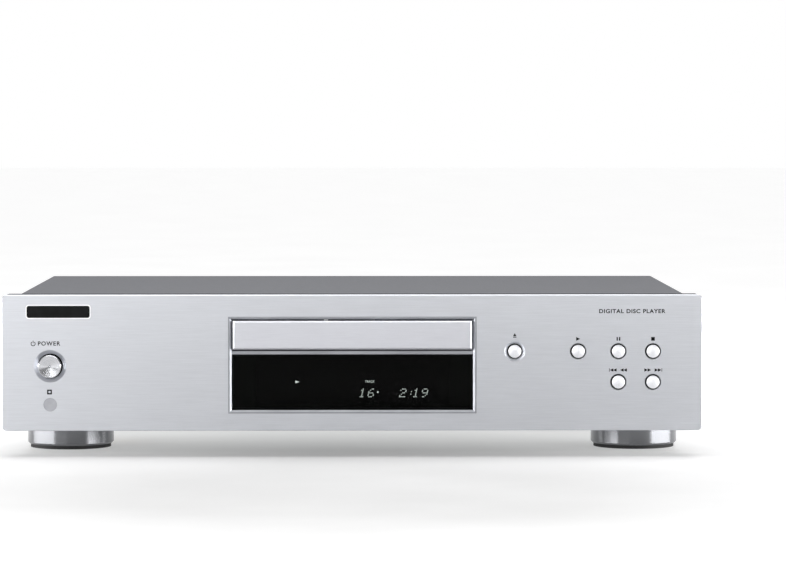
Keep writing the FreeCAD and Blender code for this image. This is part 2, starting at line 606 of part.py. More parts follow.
def make_rear_panel():
    body = new_body("rear_panel")
    front = "rear_y - metal_thick"
    add(body, "plate", "XZ_Plane", front, "rear_y", wide("chassis_half", "rear_low", "rear_high"))
    inner = "chassis_half - metal_thick - panel_clear"
    side_low = "floor_low + metal_thick + side_flange + 2"
    add(body, "side_returns", "XZ_Plane", front + " - rear_flange", front + " + 0.1",
        rect("-(%s)" % inner, "-(%s) + metal_thick" % inner, side_low, "rear_high - cover_lip - 2"),
        rect("%s - metal_thick" % inner, inner, side_low, "rear_high - cover_lip - 2"))
    jacks = [("jack_x + jack_pitch * %d" % index, "jack_z", "jack_hole") for index in (0, 1)]
    jacks.append(("digital_x - digital_half / 2", "digital_z", "jack_hole"))
    cut(body, "jack_holes", "XZ_Plane", front, "rear_y", *jacks)
    cut(body, "rear_screw_holes", "XZ_Plane", front, "rear_y",
        *[(x, "rear_screw_z", "screw_shank") for x in rear_screw_x])
    cut(body, "optical_hole", "XZ_Plane", front, "rear_y",
        rect("digital_x + 1.4", "digital_x + 12.2", "digital_z - 5.2", "digital_z + 5.2"))
    cut(body, "inlet_hole", "XZ_Plane", front, "rear_y",
        rect("inlet_x - inlet_half + 1", "inlet_x + inlet_half - 1",
             "inlet_z - inlet_half_high + 1", "inlet_z + inlet_half_high - 1"))
    row = []
    for index in range(8):
        left = "%s + vent_pitch * %d" % ("-60", index)
        row.append(rect(left, left + " + vent_width", "40", "40 + vent_length"))
    cut(body, "rear_vents", "XZ_Plane", front, "rear_y", *row)


def make_feet():
    """Turned metal shells with a rubber pad let into the underside."""
    spots = {
        "foot_front_left": ("-foot_x", "foot_front"),
        "foot_front_right": ("foot_x", "foot_front"),
        "foot_back_left": ("-foot_x", "foot_back"),
        "foot_back_right": ("foot_x", "foot_back"),
    }
    pads = []
    for label, (x, y) in spots.items():
        body = new_body(label)
        place(body, x, y, "0")
        seat = "foot_low + pad_deep"
        turn(body, label + "_shell", "Revolution", "Z", "0", "0",
             [("screw_shank + 0.2", "foot_web"), ("foot_bore", "foot_web"), ("foot_bore", seat),
              ("pad_radius", seat), ("pad_radius", "foot_low"),
              ("foot_radius - foot_bevel", "foot_low"), ("foot_radius", "foot_low + foot_bevel"),
              ("foot_radius", "floor_low"), ("screw_shank + 0.2", "floor_low")])
        pads.append(rod(label + "_pad", "Z", (x, y), "pad_radius", "0", seat))
    group("foot_pads", pads)


def make_screws():
    """Round-headed screws: cover and rear panel, then the loader feet and bridge."""
    cover = []
    for side, sign in (("left", "-"), ("right", "")):
        for index, (y, z) in enumerate(cover_screw_side):
            near = "%s(cover_width / 2)" % sign
            out = "%s(cover_width / 2 + screw_high)" % sign
            deep = "%s(cover_width / 2 - screw_long)" % sign
            ends = (out, near) if sign else (near, out)
            shank = (near, deep) if sign else (deep, near)
            name = "%s_screw_%d" % (side, index)
            cover.append(fuse(name, [rod(name + "_head", "X", (y, z), "screw_head", *ends),
                                     rod(name + "_shank", "X", (y, z), "screw_shank", *shank)]))
    for index, x in enumerate(rear_screw_x):
        name = "rear_screw_%d" % index
        spot = (x, "rear_screw_z")
        cover.append(fuse(name, [
            rod(name + "_head", "Y", spot, "screw_head", "rear_y", "rear_y + screw_high - 0.4"),
            rod(name + "_shank", "Y", spot, "screw_shank", "rear_y - screw_long", "rear_y")]))
    group("cover_screws", cover)
    inside = []
    for spot in [(x, y) for x in loader_foot_x for y in loader_foot_y]:
        name = "loader_screw_%d" % len(inside)
        base = "floor_low + 2 * metal_thick"
        inside.append(fuse(name, [
            rod(name + "_head", "Z", spot, "screw_head", base, base + " + screw_high"),
            rod(name + "_shank", "Z", spot, "screw_shank", "floor_low", base)]))
    for spot in bridge_screws:
        name = "bridge_screw_%d" % len(inside)
        base = "bridge_low + metal_thick"
        inside.append(fuse(name, [
            rod(name + "_head", "Z", spot, "screw_head - 1", base, base + " + screw_high"),
            rod(name + "_shank", "Z", spot, "screw_shank", "bridge_low", base)]))
    group("chassis_screws", inside)


# ---------------------------------------------------------------- drawer
def make_tray_door():
    body = new_body("tray_door")
    front = "face_y + door_front"
    back = front + " + door_thick"
    add(body, "door_plate", "XZ_Plane", front, back, wide("door_half", "door_low", "door_high"))
    dress(body, "Chamfer", "door_bevel", "door_edge",
          lambda edge: edge.BoundBox.YMax < number(front) + 0.01)
    cut(body, "door_hollow", "XZ_Plane", front + " + door_wall", back,
        wide("door_half - door_wall", "door_low + door_wall", "door_high - door_wall"))


def make_disc_tray():
    body = new_body("disc_tray")
    wall_front = "face_y + door_front + door_thick"
    wall_back = wall_front + " + tray_wall"
    add(body, "tray_plate", "XY_Plane", "tray_low", "tray_high", wide("tray_half", wall_front, "tray_back"))
    add(body, "front_wall", "XZ_Plane", wall_front, wall_back,
        wide("tray_half", "tray_wall_low", "tray_wall_high"))
    add(body, "door_lugs", "XZ_Plane", wall_front + " - door_thick + door_wall", wall_front + " + 0.2",
        rect("-lug_half", "-lug_half + 18", "lug_low", "lug_high"),
        rect("lug_half - 18", "lug_half", "lug_low", "lug_high"))
    add(body, "guide_tongues", "XY_Plane", "tongue_low", "tongue_high",
        rect("tray_half - 0.5", "tongue_out", "tongue_front", "tray_back"),
        rect("-tongue_out", "-tray_half + 0.5", "tongue_front", "tray_back"))
    cut(body, "disc_recess", "XY_Plane", "disc_floor", "tray_high", ("0", "hub_y", "disc_radius"))
    cut(body, "small_recess", "XY_Plane", "small_floor", "tray_high", ("0", "hub_y", "small_disc"))
    cut(body, "finger_notches", "XY_Plane", "disc_floor", "tray_high",
        rect("notch_in", "tongue_out", "hub_y - notch_half", "hub_y + notch_half"),
        rect("-tongue_out", "-notch_in", "hub_y - notch_half", "hub_y + notch_half"))
    cut(body, "hub_slot", "XY_Plane", "tray_low", "tray_high",
        wide("slot_half", "hub_y", "tray_back"))
    cut(body, "hub_slot_end", "XY_Plane", "tray_low", "tray_high", ("0", "hub_y", "slot_half"))
    pitch_x = "(tray_gear_x - gear_module * tray_gear_teeth / 2)"
    bar = pitch_x + " - gear_root * gear_module"
    add(body, "rack_bar", "XY_Plane", "rack_low", "tray_low + 0.5",
        rect(bar + " - rack_width", bar, "rack_front", "rack_back"))
    first = "gear_row - %.6f" % (2 * math.pi)
    add_rack(body, "tray_rack", pitch_x, first, "rack_low", "tray_low + 0.5", "rack_count")


# ---------------------------------------------------------------- loader frame
def make_loader_frame():
    body = new_body("loader_frame")
    add(body, "deck", "XY_Plane", "deck_low", "deck_high", wide("loader_half", "loader_front", "loader_back"))
    inner = "loader_half - loader_wall"
    add(body, "side_walls", "XY_Plane", "wall_low", "wall_high",
        rect(inner, "loader_half", "loader_front", "loader_back"),
        rect("-loader_half", "-(%s)" % inner, "loader_front", "loader_back"))
    for name, low, high in (("lower_rails", "rail_low", "rail_under"),
                            ("upper_rails", "rail_over", "rail_high")):
        add(body, name, "XY_Plane", low, high,
            rect("rail_in", inner + " + 0.2", "tongue_front + 4", "loader_back"),
            rect("-(%s) - 0.2" % inner, "-rail_in", "tongue_front + 4", "loader_back"))
    outer_rib = "rib_half + rib_thick"
    add(body, "ribs", "XY_Plane", "rib_low", "deck_low + 0.2",
        rect("rib_half", outer_rib, "rib_front", "loader_back"),
        rect("-(%s)" % outer_rib, "-rib_half", "rib_front", "loader_back"),
        wide("rib_half", "rear_rib", "loader_back"))
    add(body, "front_cross_wall", "XZ_Plane", "rib_front", "cross_back",
        wide(outer_rib, "cross_low", "deck_low + 0.2"))
    add(body, "cam_shelf", "XZ_Plane", "cross_back - 0.2", "cross_back + guide_deep",
        wide("28", "cross_low", "guide_top"))
    hook_back = "cross_back + guide_deep"
    add(body, "cam_hooks", "XZ_Plane", hook_back + " - hook_thick", hook_back,
        rect("-20", "-12", "guide_top - 0.2", "hook_high"), rect("12", "20", "guide_top - 0.2", "hook_high"))
    cut(body, "traverse_window", "XY_Plane", "deck_low", "deck_high",
        wide("window_x", "window_front", "window_rear"))
    cut(body, "pivot_holes", "YZ_Plane", "-(%s)" % outer_rib, outer_rib, ("pivot_y", "pivot_z", "pin_hole"))
    cut(body, "motor_hole", "XY_Plane", "deck_low", "deck_high",
        ("motor_x", "motor_y", "motor_pulley_radius"))
    add(body, "gear_posts", "XY_Plane", "deck_high - 0.5", "gear_high - 0.4",
        ("tray_gear_x", "gear_row", "post_radius"), ("pulley_x", "gear_row", "post_radius"))
    brackets = []
    for side, sign in (("left", "-"), ("right", "")):
        wall = "loader_half"
        skin = "loader_half + bracket_thick"
        foot = skin + " + bracket_foot"
        ends = [("-(%s)" % b, "-(%s)" % a) if sign else (a, b) for a, b in ((wall, skin), (wall, foot))]
        floor = "floor_low + metal_thick"
        web = block(side + "_bracket_web", *ends[0], "bracket_front", "bracket_back", floor, "bracket_high")
        base = block(side + "_bracket_base", *ends[1], "bracket_front", "bracket_back",
                     floor, floor + " + bracket_thick")
        light = block(side + "_bracket_gap", "%s(%s) - 2" % (sign, wall), "%s(%s) + 2" % (sign, wall),
                      "bracket_front + 25", "bracket_back - 25", "ribbon_low - 0.2", "bracket_high - 24")
        holes = [rod("%s_bracket_hole_%d" % (side, index), "Z",
                     ("%s(loader_half + bracket_thick + 6)" % sign, y), "screw_shank", floor, "core_low")
                 for index, y in enumerate(loader_foot_y)]
        sheet_metal = fuse(side + "_bracket_sheet", [web, base])
        brackets.append(carve(side + "_bracket", sheet_metal, [light] + holes))
    group("loader_brackets", brackets)


def make_clamp():
    body = new_body("clamp_bridge")
    add(body, "bridge_plate", "XY_Plane", "bridge_low", "bridge_low + metal_thick",
        wide("loader_half", "hub_y - bridge_half", "hub_y + bridge_half"))
    add(body, "bridge_rims", "XY_Plane", "bridge_low", "bridge_low + metal_thick + bridge_rim",
        wide("loader_half - 10", "hub_y - bridge_half", "hub_y - bridge_half + metal_thick"),
        wide("loader_half - 10", "hub_y + bridge_half - metal_thick", "hub_y + bridge_half"))
    cut(body, "bridge_opening", "XY_Plane", "bridge_low", "bridge_low + metal_thick",
        ("0", "hub_y", "bridge_hole"), *[(x, y, "screw_shank") for x, y in bridge_screws])
    puck = new_body("clamp_puck")
    turn(puck, "puck_shape", "Revolution", "Z", "0", "hub_y",
         [("puck_bore", "puck_low"), ("puck_radius", "puck_low"), ("puck_radius", "puck_flange_low"),
          ("puck_flange", "puck_flange_low"), ("puck_flange", "puck_high"),
          ("puck_inner", "puck_high"), ("puck_inner", "puck_floor"), ("puck_bore", "puck_floor")])
    magnet = new_body("clamp_magnet")
    turn(magnet, "magnet_ring", "Revolution", "Z", "0", "hub_y",
         [("puck_bore", "puck_floor"), ("puck_inner - fit_gap", "puck_floor"),
          ("puck_inner - fit_gap", "magnet_high"), ("puck_bore", "magnet_high")])


# ---------------------------------------------------------------- drawer drive
def make_drawer_drive():
    gear = new_body("tray_gear")
    place(gear, "tray_gear_x", "gear_row", "0")
    add(gear, "tray_gear_blank", "XY_Plane", "gear_low", "gear_high",
        ("0", "0", "gear_module * tray_gear_teeth / 2 + gear_tip"))
    cut_teeth(gear, "tray_gear_teeth", "gear_low", "gear_high")
    add(gear, "tray_gear_hub", "XY_Plane", "pulley_low", "gear_low + 0.2", ("0", "0", "3"))
    cut(gear, "tray_gear_bore", "XY_Plane", "pulley_low", "gear_high", ("0", "0", "bore_radius"))

    pulley = new_body("pulley_gear")
    pulley.Placement.Rotation = FreeCAD.Rotation(FreeCAD.Vector(0, 0, 1), 180 / sizes["pinion_teeth"])
    place(pulley, "pulley_x", "gear_row", "0")
    add(pulley, "pinion_blank", "XY_Plane", "gear_low", "gear_high",
        ("0", "0", "gear_module * pinion_teeth / 2 + gear_tip"))
    cut_teeth(pulley, "pinion_teeth", "gear_low", "gear_high")
    middle = "(pulley_low + pulley_high) / 2"
    turn(pulley, "pulley_wheel", "Revolution", "Z", "0", "0",
         [("0", "pulley_low"), ("pulley_radius", "pulley_low"),
          ("belt_path", middle + " - belt_width / 2 - belt_gap"),
          ("belt_path", middle + " + belt_width / 2 + belt_gap"), ("pulley_radius", "pulley_high"),
          ("6", "pulley_high"), ("6", "gear_low + 0.1"), ("0", "gear_low + 0.1")])
    cut(pulley, "pulley_bore", "XY_Plane", "pulley_low", "gear_high", ("0", "0", "bore_radius"))

    small = new_body("motor_pulley")
    turn(small, "motor_pulley_shape", "Revolution", "Z", "motor_x", "motor_y",
         [("0", "deck_low - 6"), ("shaft_radius", "deck_low - 6"), ("shaft_radius", "pulley_low"),
          ("motor_pulley_radius - 0.3", "pulley_low"),
          ("motor_path", middle + " - belt_width / 2 - belt_gap"),
          ("motor_path", middle + " + belt_width / 2 + belt_gap"),
          ("motor_pulley_radius - 0.3", "pulley_high"), ("0", "pulley_high")])

    belt_low = middle + " - belt_width / 2"
    belt_high = middle + " + belt_width / 2"
    group("drive_belt", [make_belt("belt_loop", belt_low, belt_high)])

    motor = fuse("loading_motor_can", [
        rod("motor_can_round", "Z", ("motor_x", "motor_y"), "7.6", "deck_low - 19", "deck_low"),
        block("motor_can_flat", "motor_x - 10", "motor_x + 10", "motor_y - 6.4", "motor_y + 6.4",
              "deck_low - 18", "deck_low")])
    bore = rod("loading_motor_bore", "Z", ("motor_x", "motor_y"), "shaft_bore",
               "deck_low - 6.5", "deck_low + 1")
    node(carve("loading_motor", motor, [bore]))


def make_belt(name, low, high):
    """Square belt on the straight outside tangents of its two pulleys."""
    big = (number("pulley_x"), number("gear_row"), number("belt_path + belt_gap"))
    small = (number("motor_x"), number("motor_y"), number("motor_path + belt_gap"))
    loops = [belt_face(big, small, extra) for extra in (number("belt_width"), 0)]
    ring = loops[0].cut(loops[1])
    belt = doc.addObject("Part::Extrusion", name)
    outline = doc.addObject("Part::Feature", name + "_outline")
    outline.Shape = ring
    belt.Base = outline
    belt.Dir = FreeCAD.Vector(0, 0, 1)
    belt.DirMode = "Custom"
    belt.Solid = True
    bind(belt, LengthFwd="(%s) - (%s)" % (high, low), Placement__Base__z=low)
    return belt


def belt_face(big, small, extra):
    """Face bounded by two circles' outside tangents, grown by an extra width."""
    across = math.hypot(small[0] - big[0], small[1] - big[1])
    heading = math.atan2(small[1] - big[1], small[0] - big[0])
    lean = math.acos((big[2] - small[2]) / across)

    def touch(circle, angle):
        reach = circle[2] + extra
        return FreeCAD.Vector(circle[0] + reach * math.cos(angle), circle[1] + reach * math.sin(angle), 0)

    up, down = heading + lean, heading - lean
    edges = [
        Part.makeLine(touch(small, up), touch(big, up)),
        Part.Arc(touch(big, up), touch(big, heading + math.pi), touch(big, down)).toShape(),
        Part.makeLine(touch(big, down), touch(small, down)),
        Part.Arc(touch(small, down), touch(small, heading), touch(small, up)).toShape(),
    ]
    return Part.Face(Part.Wire(edges))


# ---------------------------------------------------------------- playing mechanism
def make_traverse():
    body = new_body("traverse_frame")
    rear = "pivot_y - 4"
    add(body, "plate", "XY_Plane", "plate_low", "plate_high", wide("plate_half", "plate_front", rear))
    ear = "plate_half - 3"
    add(body, "pivot_ears", "XY_Plane", "pivot_z - 3", "pivot_z + 3",
        rect(ear, "plate_half", rear + " - 2", "pivot_y + 3"),
        rect("-plate_half", "-(%s)" % ear, rear + " - 2", "pivot_y + 3"))
    cut(body, "pickup_opening", "XY_Plane", "plate_low", "plate_high",
        wide("pick_window", "pick_front", "pick_back"))
    cut(body, "spindle_opening", "XY_Plane", "plate_low", "plate_high", ("0", "hub_y", "spindle_hole"))
    cut(body, "pivot_pin_seats", "YZ_Plane", "-plate_half", "plate_half",
        ("pivot_y", "pivot_z", "pin_radius"))
    left = "rod_x - block_half"
    right = "rod_x + block_half"
    add(body, "rod_blocks", "XY_Plane", "plate_high - 0.2", "block_high",
        *[rect(low, high, near, far)
          for low, high in ((left, right), ("-(%s)" % right, "-(%s)" % left))
          for near, far in (("rod_front", "rod_front + block_deep"),
                            ("rod_back - block_deep", "rod_back"))])
    cut(body, "rod_seats", "XZ_Plane", "rod_front - 1", "rod_back + 1",
        ("rod_x", "rod_z", "rod_radius"), ("-rod_x", "rod_z", "rod_radius"))
    cut(body, "sled_shaft_opening", "XY_Plane", "plate_low", "plate_high",
        ("sled_x", "sled_pinion_y", "spindle_hole"))
    add(body, "sled_post", "XY_Plane", "plate_high - 0.2", "sled_high - 0.3",
        ("sled_x", "sled_y", "post_radius"))
    tab_front = "cam_front + cam_thick + 0.6"
    add(body, "cam_tab", "XZ_Plane", tab_front, "plate_front + 0.5",
        wide("tab_half", "tab_low", "plate_high"))
    add(body, "cam_pin", "XZ_Plane", "pin_front", tab_front + " + 0.2",
        ("0", "cam_pin_z", "pin_radius"))
    pins = [rod("pivot_pin_" + side, "X", ("pivot_y", "pivot_z"), "pin_radius", low, high)
            for side, low, high in (("left", "-(rib_half + rib_thick)", "-(plate_half - 3)"),
                                    ("right", "plate_half - 3", "rib_half + rib_thick"))]
    group("traverse_pins", pins)
    group("guide_rods", [rod("guide_rod_" + side, "Y", (x, "rod_z"), "rod_radius", "rod_front", "rod_back")
                         for side, x in (("left", "-rod_x"), ("right", "rod_x"))])

    cam = new_body("cam_slider")
    add(cam, "cam_plate", "XZ_Plane", "cam_front", "cam_front + cam_thick",
        rect("cam_left", "cam_right", "cam_low", "cam_high"))
    far = "-cam_run - cam_over"
    line = "cam_pin_z + cam_slope * (%s)"
    cut(cam, "cam_slot_cut", "XZ_Plane", "cam_front", "cam_front + cam_thick",
        [(far, line % far + " - cam_slot"), ("cam_over", line % "cam_over" + " - cam_slot"),
         ("cam_over", line % "cam_over" + " + cam_slot"), (far, line % far + " + cam_slot")])


def make_spindle():
    can = rod("spindle_can", "Z", ("0", "hub_y"), "motor_radius", "motor_low", "plate_low")
    bore = rod("spindle_bore", "Z", ("0", "hub_y"), "shaft_bore", "shaft_low - 0.5", "plate_low + 1")
    node(carve("spindle_motor", can, [bore]))
    table = new_body("turntable")
    seat_low = "table_high - table_step"
    turn(table, "table_shape", "Revolution", "Z", "0", "hub_y",
         [("0", "shaft_low"), ("shaft_radius", "shaft_low"), ("shaft_radius", "table_low - 3"),
          ("3", "table_low - 3"), ("3", "table_low"), ("table_radius", "table_low"),
          ("table_radius", "table_high"), ("table_seat", "table_high"), ("table_seat", seat_low),
          ("nose_radius", seat_low), ("nose_radius", "nose_top - 1"), ("nose_tip", "nose_top"),
          ("0", "nose_top")])


def make_pickup():
    body = new_body("pickup_body")
    front = "pickup_y - pickup_half"
    back = "pickup_y + pickup_half"
    add(body, "carriage", "XY_Plane", "pickup_low", "pickup_mid", wide("pickup_side", front, back))
    add(body, "turret", "XY_Plane", "pickup_mid - 0.2", "pickup_top",
        wide("turret_half", "pickup_y - turret_front", "pickup_y + turret_back"))
    cut(body, "lens_well_cut", "XY_Plane", "well_low", "pickup_top",
        rect("-lens_well", "lens_well", "pickup_y - lens_well", "pickup_y + lens_well"))
    cut(body, "rod_bores", "XZ_Plane", front, back,
        ("rod_x", "rod_z", "rod_hole"), ("-rod_x", "rod_z", "rod_hole"))
    bar = "sled_rack_x - gear_root * gear_module"
    add(body, "sled_rack_bar", "XY_Plane", "sled_low", "sled_high",
        rect("pickup_side - 0.1", bar, "sled_rack_front", "sled_rack_back"))
    first = "sled_y - %.6f" % (12 * math.pi)
    add_rack(body, "sled_rack", "sled_rack_x", first, "sled_low", "sled_high", "sled_rack_count")
    cut(body, "rod_clearance", "XZ_Plane", "sled_rack_front - 1", "sled_rack_back + 1",
        ("rod_x", "rod_z", "rod_hole"))

    lens = new_body("objective_lens")
    add(lens, "lens_carrier", "XY_Plane", "lens_low", "lens_plate",
        rect("-lens_half", "lens_half", "pickup_y - lens_half", "pickup_y + lens_half"))
    add(lens, "lens_barrel", "XY_Plane", "lens_plate - 0.2", "lens_top", ("0", "pickup_y", "lens_radius"))
    dress(lens, "Fillet", "lens_crown", "lens_radius * 0.35",
          lambda edge: edge.BoundBox.ZMin > number("lens_top") - 0.01)

    gear = new_body("sled_gear")
    place(gear, "sled_x", "sled_y", "0")
    add(gear, "sled_gear_blank", "XY_Plane", "sled_low", "sled_high",
        ("0", "0", "gear_module * sled_teeth / 2 + gear_tip"))
    cut_teeth(gear, "sled_teeth", "sled_low", "sled_high")
    cut(gear, "sled_gear_bore", "XY_Plane", "sled_low", "sled_high", ("0", "0", "bore_radius"))

    pinion = new_body("sled_pinion")
    place(pinion, "sled_x", "sled_pinion_y", "0")
    add(pinion, "sled_pinion_blank", "XY_Plane", "sled_low", "sled_high",
        ("0", "0", "gear_module * pinion_teeth / 2 + gear_tip"))
    cut_teeth(pinion, "pinion_teeth", "sled_low", "sled_high")
    add(pinion, "sled_shaft", "XY_Plane", "plate_low - 6", "sled_low + 0.2", ("0", "0", "shaft_radius"))

    can = fuse("sled_motor_can", [
        rod("sled_can_round", "Z", ("sled_x", "sled_pinion_y"), "7.6", "plate_low - 15", "plate_low"),
        block("sled_can_flat", "sled_x - 6", "sled_x + 6", "sled_pinion_y - 10", "sled_pinion_y + 10",
              "plate_low - 14", "plate_low")])
    bore = rod("sled_motor_bore", "Z", ("sled_x", "sled_pinion_y"), "shaft_bore", "plate_low - 6.5",
               "plate_low + 1")
    node(carve("sled_motor", can, [bore]))


# ---------------------------------------------------------------- boards and their parts
switch_spots = list(keys.values()) + [("standby_x", "standby_z")]


def board_hole(name, axis, spot, low, high):
    return rod(name, axis, spot, "screw_shank", low, high)


def make_boards():
    top = "board_low + board_thick"
    boards = {
        "main_board": ("main_left", "main_right", "main_front", "main_back"),
        "power_board": ("power_left", "power_right", "power_front", "power_back"),
    }
    for label, (left, right, front, back) in boards.items():
        plate = block(label + "_plate", left, right, front, back, "board_low", top)
        holes = [board_hole("%s_hole_%d%d" % (label, i, j), "Z", (x, y), "board_low - 1", top + " + 1")
                 for i, x in enumerate((left + " + 6", right + " - 6"))
                 for j, y in enumerate((front + " + 6", back + " - 14"))]
        node(carve(label, plate, holes))
    uprights = {
        "button_board": ("key_board_left", "key_board_right", "key_board_low", "key_board_high",
                         "switch_board_front"),
        "standby_board": ("standby_board_left", "standby_board_right", "standby_board_low",
                          "standby_board_high", "switch_board_front"),
        "display_board": ("-display_board_half", "display_board_half", "display_board_low",
                          "display_board_high", "display_board_front"),
    }
    for label, (left, right, low, high, front) in uprights.items():
        node(block(label, left, right, front, front + " + board_thick", low, high))
    node(block("display_tube", "-tube_half", "tube_half", "tube_front", "display_board_front",
               "tube_low", "tube_high"))
    switches = []
    for index, (x, z) in enumerate(switch_spots):
        name = "switch_%d" % index
        front = "switch_board_front - switch_high"
        base = block(name + "_base", x + " - switch_half", x + " + switch_half", front,
                     "switch_board_front", z + " - switch_half", z + " + switch_half")
        plunger = rod(name + "_plunger", "Y", (x, z), "plunger_radius", front + " - plunger_high", front)
        switches.append(fuse(name, [base, plunger]))
    group("tact_switches", switches)


def make_board_components():
    """Chips, oscillator and capacitors on the boards, and the infrared receiver."""
    top = "board_low + board_thick"
    chips = {
        "servo_chip": (118, 0, 14, 14, 2), "decoder_chip": (150, 8, 14, 14, 2),
        "memory_chip": (150, 34, 8, 16, 2.6), "converter_chip": (166, 66, 8, 12, 2.4),
        "driver_chip": (116, -36, 18, 10, 3), "oscillator_can": (132, 36, 11, 5, 4),
        "output_op_amp": (172, 92, 8, 10, 3.6), "regulator": (-140, 92, 10, 5, 16),
    }
    parts = []
    for name, (x, y, width, deep, high) in chips.items():
        parts.append(block(name, str(x), "%s + %s" % (x, width), str(y), "%s + %s" % (y, deep),
                           top, "%s + %s" % (top, high)))
    cans = {
        "reservoir_a": (-176, 62, 9, 32), "reservoir_b": (-154, 62, 9, 32),
        "smoothing_a": (-188, 96, 5, 16), "smoothing_b": (-172, 96, 5, 16),
        "audio_can_a": (186, 70, 4, 11), "audio_can_b": (186, 84, 4, 11),
        "audio_can_c": (130, 66, 4, 11), "audio_can_d": (142, 66, 4, 11),
    }
    for name, (x, y, radius, high) in cans.items():
        parts.append(rod(name, "Z", (str(x), str(y)), str(radius), top, "%s + %s" % (top, high)))
    front = "switch_board_front - 4.5"
    parts.append(block("infrared_receiver", "standby_x - 4", "standby_x + 4", front,
                       "switch_board_front", "sensor_z - 4", "sensor_z + 4"))
    group("board_components", parts)


def make_transformer():
    left = "core_left"
    right = "core_left + core_width"
    front = "core_front"
    back = "core_front + core_deep"
    high = "core_low + core_thick"
    middle = "(core_left + core_width / 2)"
    leg = "core_leg / 2"
    stack = block("core_stack", left, right, front, back, "core_low", high)
    feet = block("core_feet", left + " - core_foot", right + " + core_foot", front + " + 16",
                 back + " - 16", "core_low", "core_low + metal_thick")
    windows = [block("core_window_" + side, low, up, front + " + core_window", back + " - core_window",
                     "core_low - 1", high + " + 1")
               for side, low, up in (("left", left + " + core_window", middle + " - " + leg),
                                     ("right", middle + " + " + leg, right + " - core_window"))]
    node(carve("power_transformer", fuse("core_with_feet", [stack, feet]), windows))
    reach = leg + " + core_window - coil_gap"
    coil = block("coil_outside", "%s - (%s)" % (middle, reach), "%s + %s" % (middle, reach),
                 front + " + core_window + coil_gap", back + " - core_window - coil_gap",
                 "core_low - coil_bulge / 4", high + " + coil_bulge")
    bore = block("coil_bore", "%s - %s" % (middle, leg), "%s + %s" % (middle, leg),
                 front, back, "core_low", high)
    node(carve("transformer_coil", coil, [bore]))


def make_connectors():
    inside = "rear_y - metal_thick"
    barrels = []
    cores = []
    for index in (0, 1):
        spot = ("jack_x + jack_pitch * %d" % index, "jack_z")
        name = "barrel_%d" % index
        barrels.append(rod(name, "Y", spot, "barrel_radius", inside + " - 1", "rear_y + jack_proud"))
        barrels.append(rod(name + "_collar", "Y", spot, "collar_radius",
                           inside + " - 1", "rear_y + collar_proud"))
        cores.append(rod(name + "_bore", "Y", spot, "barrel_bore", "rear_y - 2", "rear_y + jack_proud + 1"))
    shell = block("jack_shell", "jack_x - jack_side", "jack_x + jack_pitch + jack_side",
                  inside + " - jack_body", inside, "jack_z - 8", "jack_z + 8")
    legs = block("jack_legs", "jack_x - 4", "jack_x + jack_pitch + 4", inside + " - jack_body",
                 inside + " - jack_body + 4", "board_low + board_thick", "jack_z - 7.5")
    node(carve("rca_jacks", fuse("jack_block", [shell, legs] + barrels), cores))

    coax = ("digital_x - digital_half / 2", "digital_z")
    case = block("digital_case", "digital_x - digital_half", "digital_x + digital_half",
                 inside + " - digital_deep", inside, "digital_z - digital_half_high - 2",
                 "digital_z + digital_half_high")
    snout = rod("digital_barrel", "Y", coax, "barrel_radius", inside + " - 1", "rear_y + jack_proud - 1.5")
    collar = rod("digital_collar", "Y", coax, "collar_radius", inside + " - 1", "rear_y + collar_proud")
    optical = block("optical_snout", "digital_x + 1.8", "digital_x + 11.8", inside + " - 0.5",
                    "rear_y + 1.2", "digital_z - 4.8", "digital_z + 4.8")
    legs = block("digital_legs", "digital_x - 8", "digital_x + 8", inside + " - digital_deep",
                 inside + " - digital_deep + 4", "board_low + board_thick", "digital_z - 7.5")
    port = block("optical_port", "digital_x + 4", "digital_x + 9.6", "rear_y - 6", "rear_y + 2",
                 "digital_z - 2.8", "digital_z + 2.8")
    bore = rod("digital_bore", "Y", coax, "barrel_bore", "rear_y - 2", "rear_y + jack_proud")
    node(carve("digital_out", fuse("digital_block", [case, snout, collar, optical, legs]), [port, bore]))

    lobes = [rod("inlet_lobe_" + side, "Y", (x, "inlet_z"), "inlet_lobe",
                 "rear_y + inlet_proud - inlet_cavity", "rear_y + inlet_proud + 1")
             for side, x in (("left", "inlet_x - inlet_pitch"), ("right", "inlet_x + inlet_pitch"))]
    waist = block("inlet_waist", "inlet_x - inlet_pitch", "inlet_x + inlet_pitch",
                  "rear_y + inlet_proud - inlet_cavity", "rear_y + inlet_proud + 1",
                  "inlet_z - inlet_lobe * 0.8", "inlet_z + inlet_lobe * 0.8")
    inner = block("inlet_case", "inlet_x - inlet_half + 1.2", "inlet_x + inlet_half - 1.2",
                  "rear_y - inlet_deep", "rear_y", "inlet_z - inlet_half_high + 1.2",
                  "inlet_z + inlet_half_high - 1.2")
    plate = block("inlet_plate", "inlet_x - inlet_half", "inlet_x + inlet_half", "rear_y",
                  "rear_y + inlet_proud", "inlet_z - inlet_half_high", "inlet_z + inlet_half_high")
    housing = carve("inlet_housing", fuse("inlet_shell", [inner, plate]),
                    [fuse("inlet_socket", lobes + [waist])])
    pins = [rod("inlet_pin_" + side, "Y", (x, "inlet_z"), "contact_radius",
                "rear_y + inlet_proud - inlet_cavity - 2", "rear_y - 2")
            for side, x in (("left", "inlet_x - inlet_pitch"), ("right", "inlet_x + inlet_pitch"))]
    node(fuse("power_inlet", [housing] + pins))


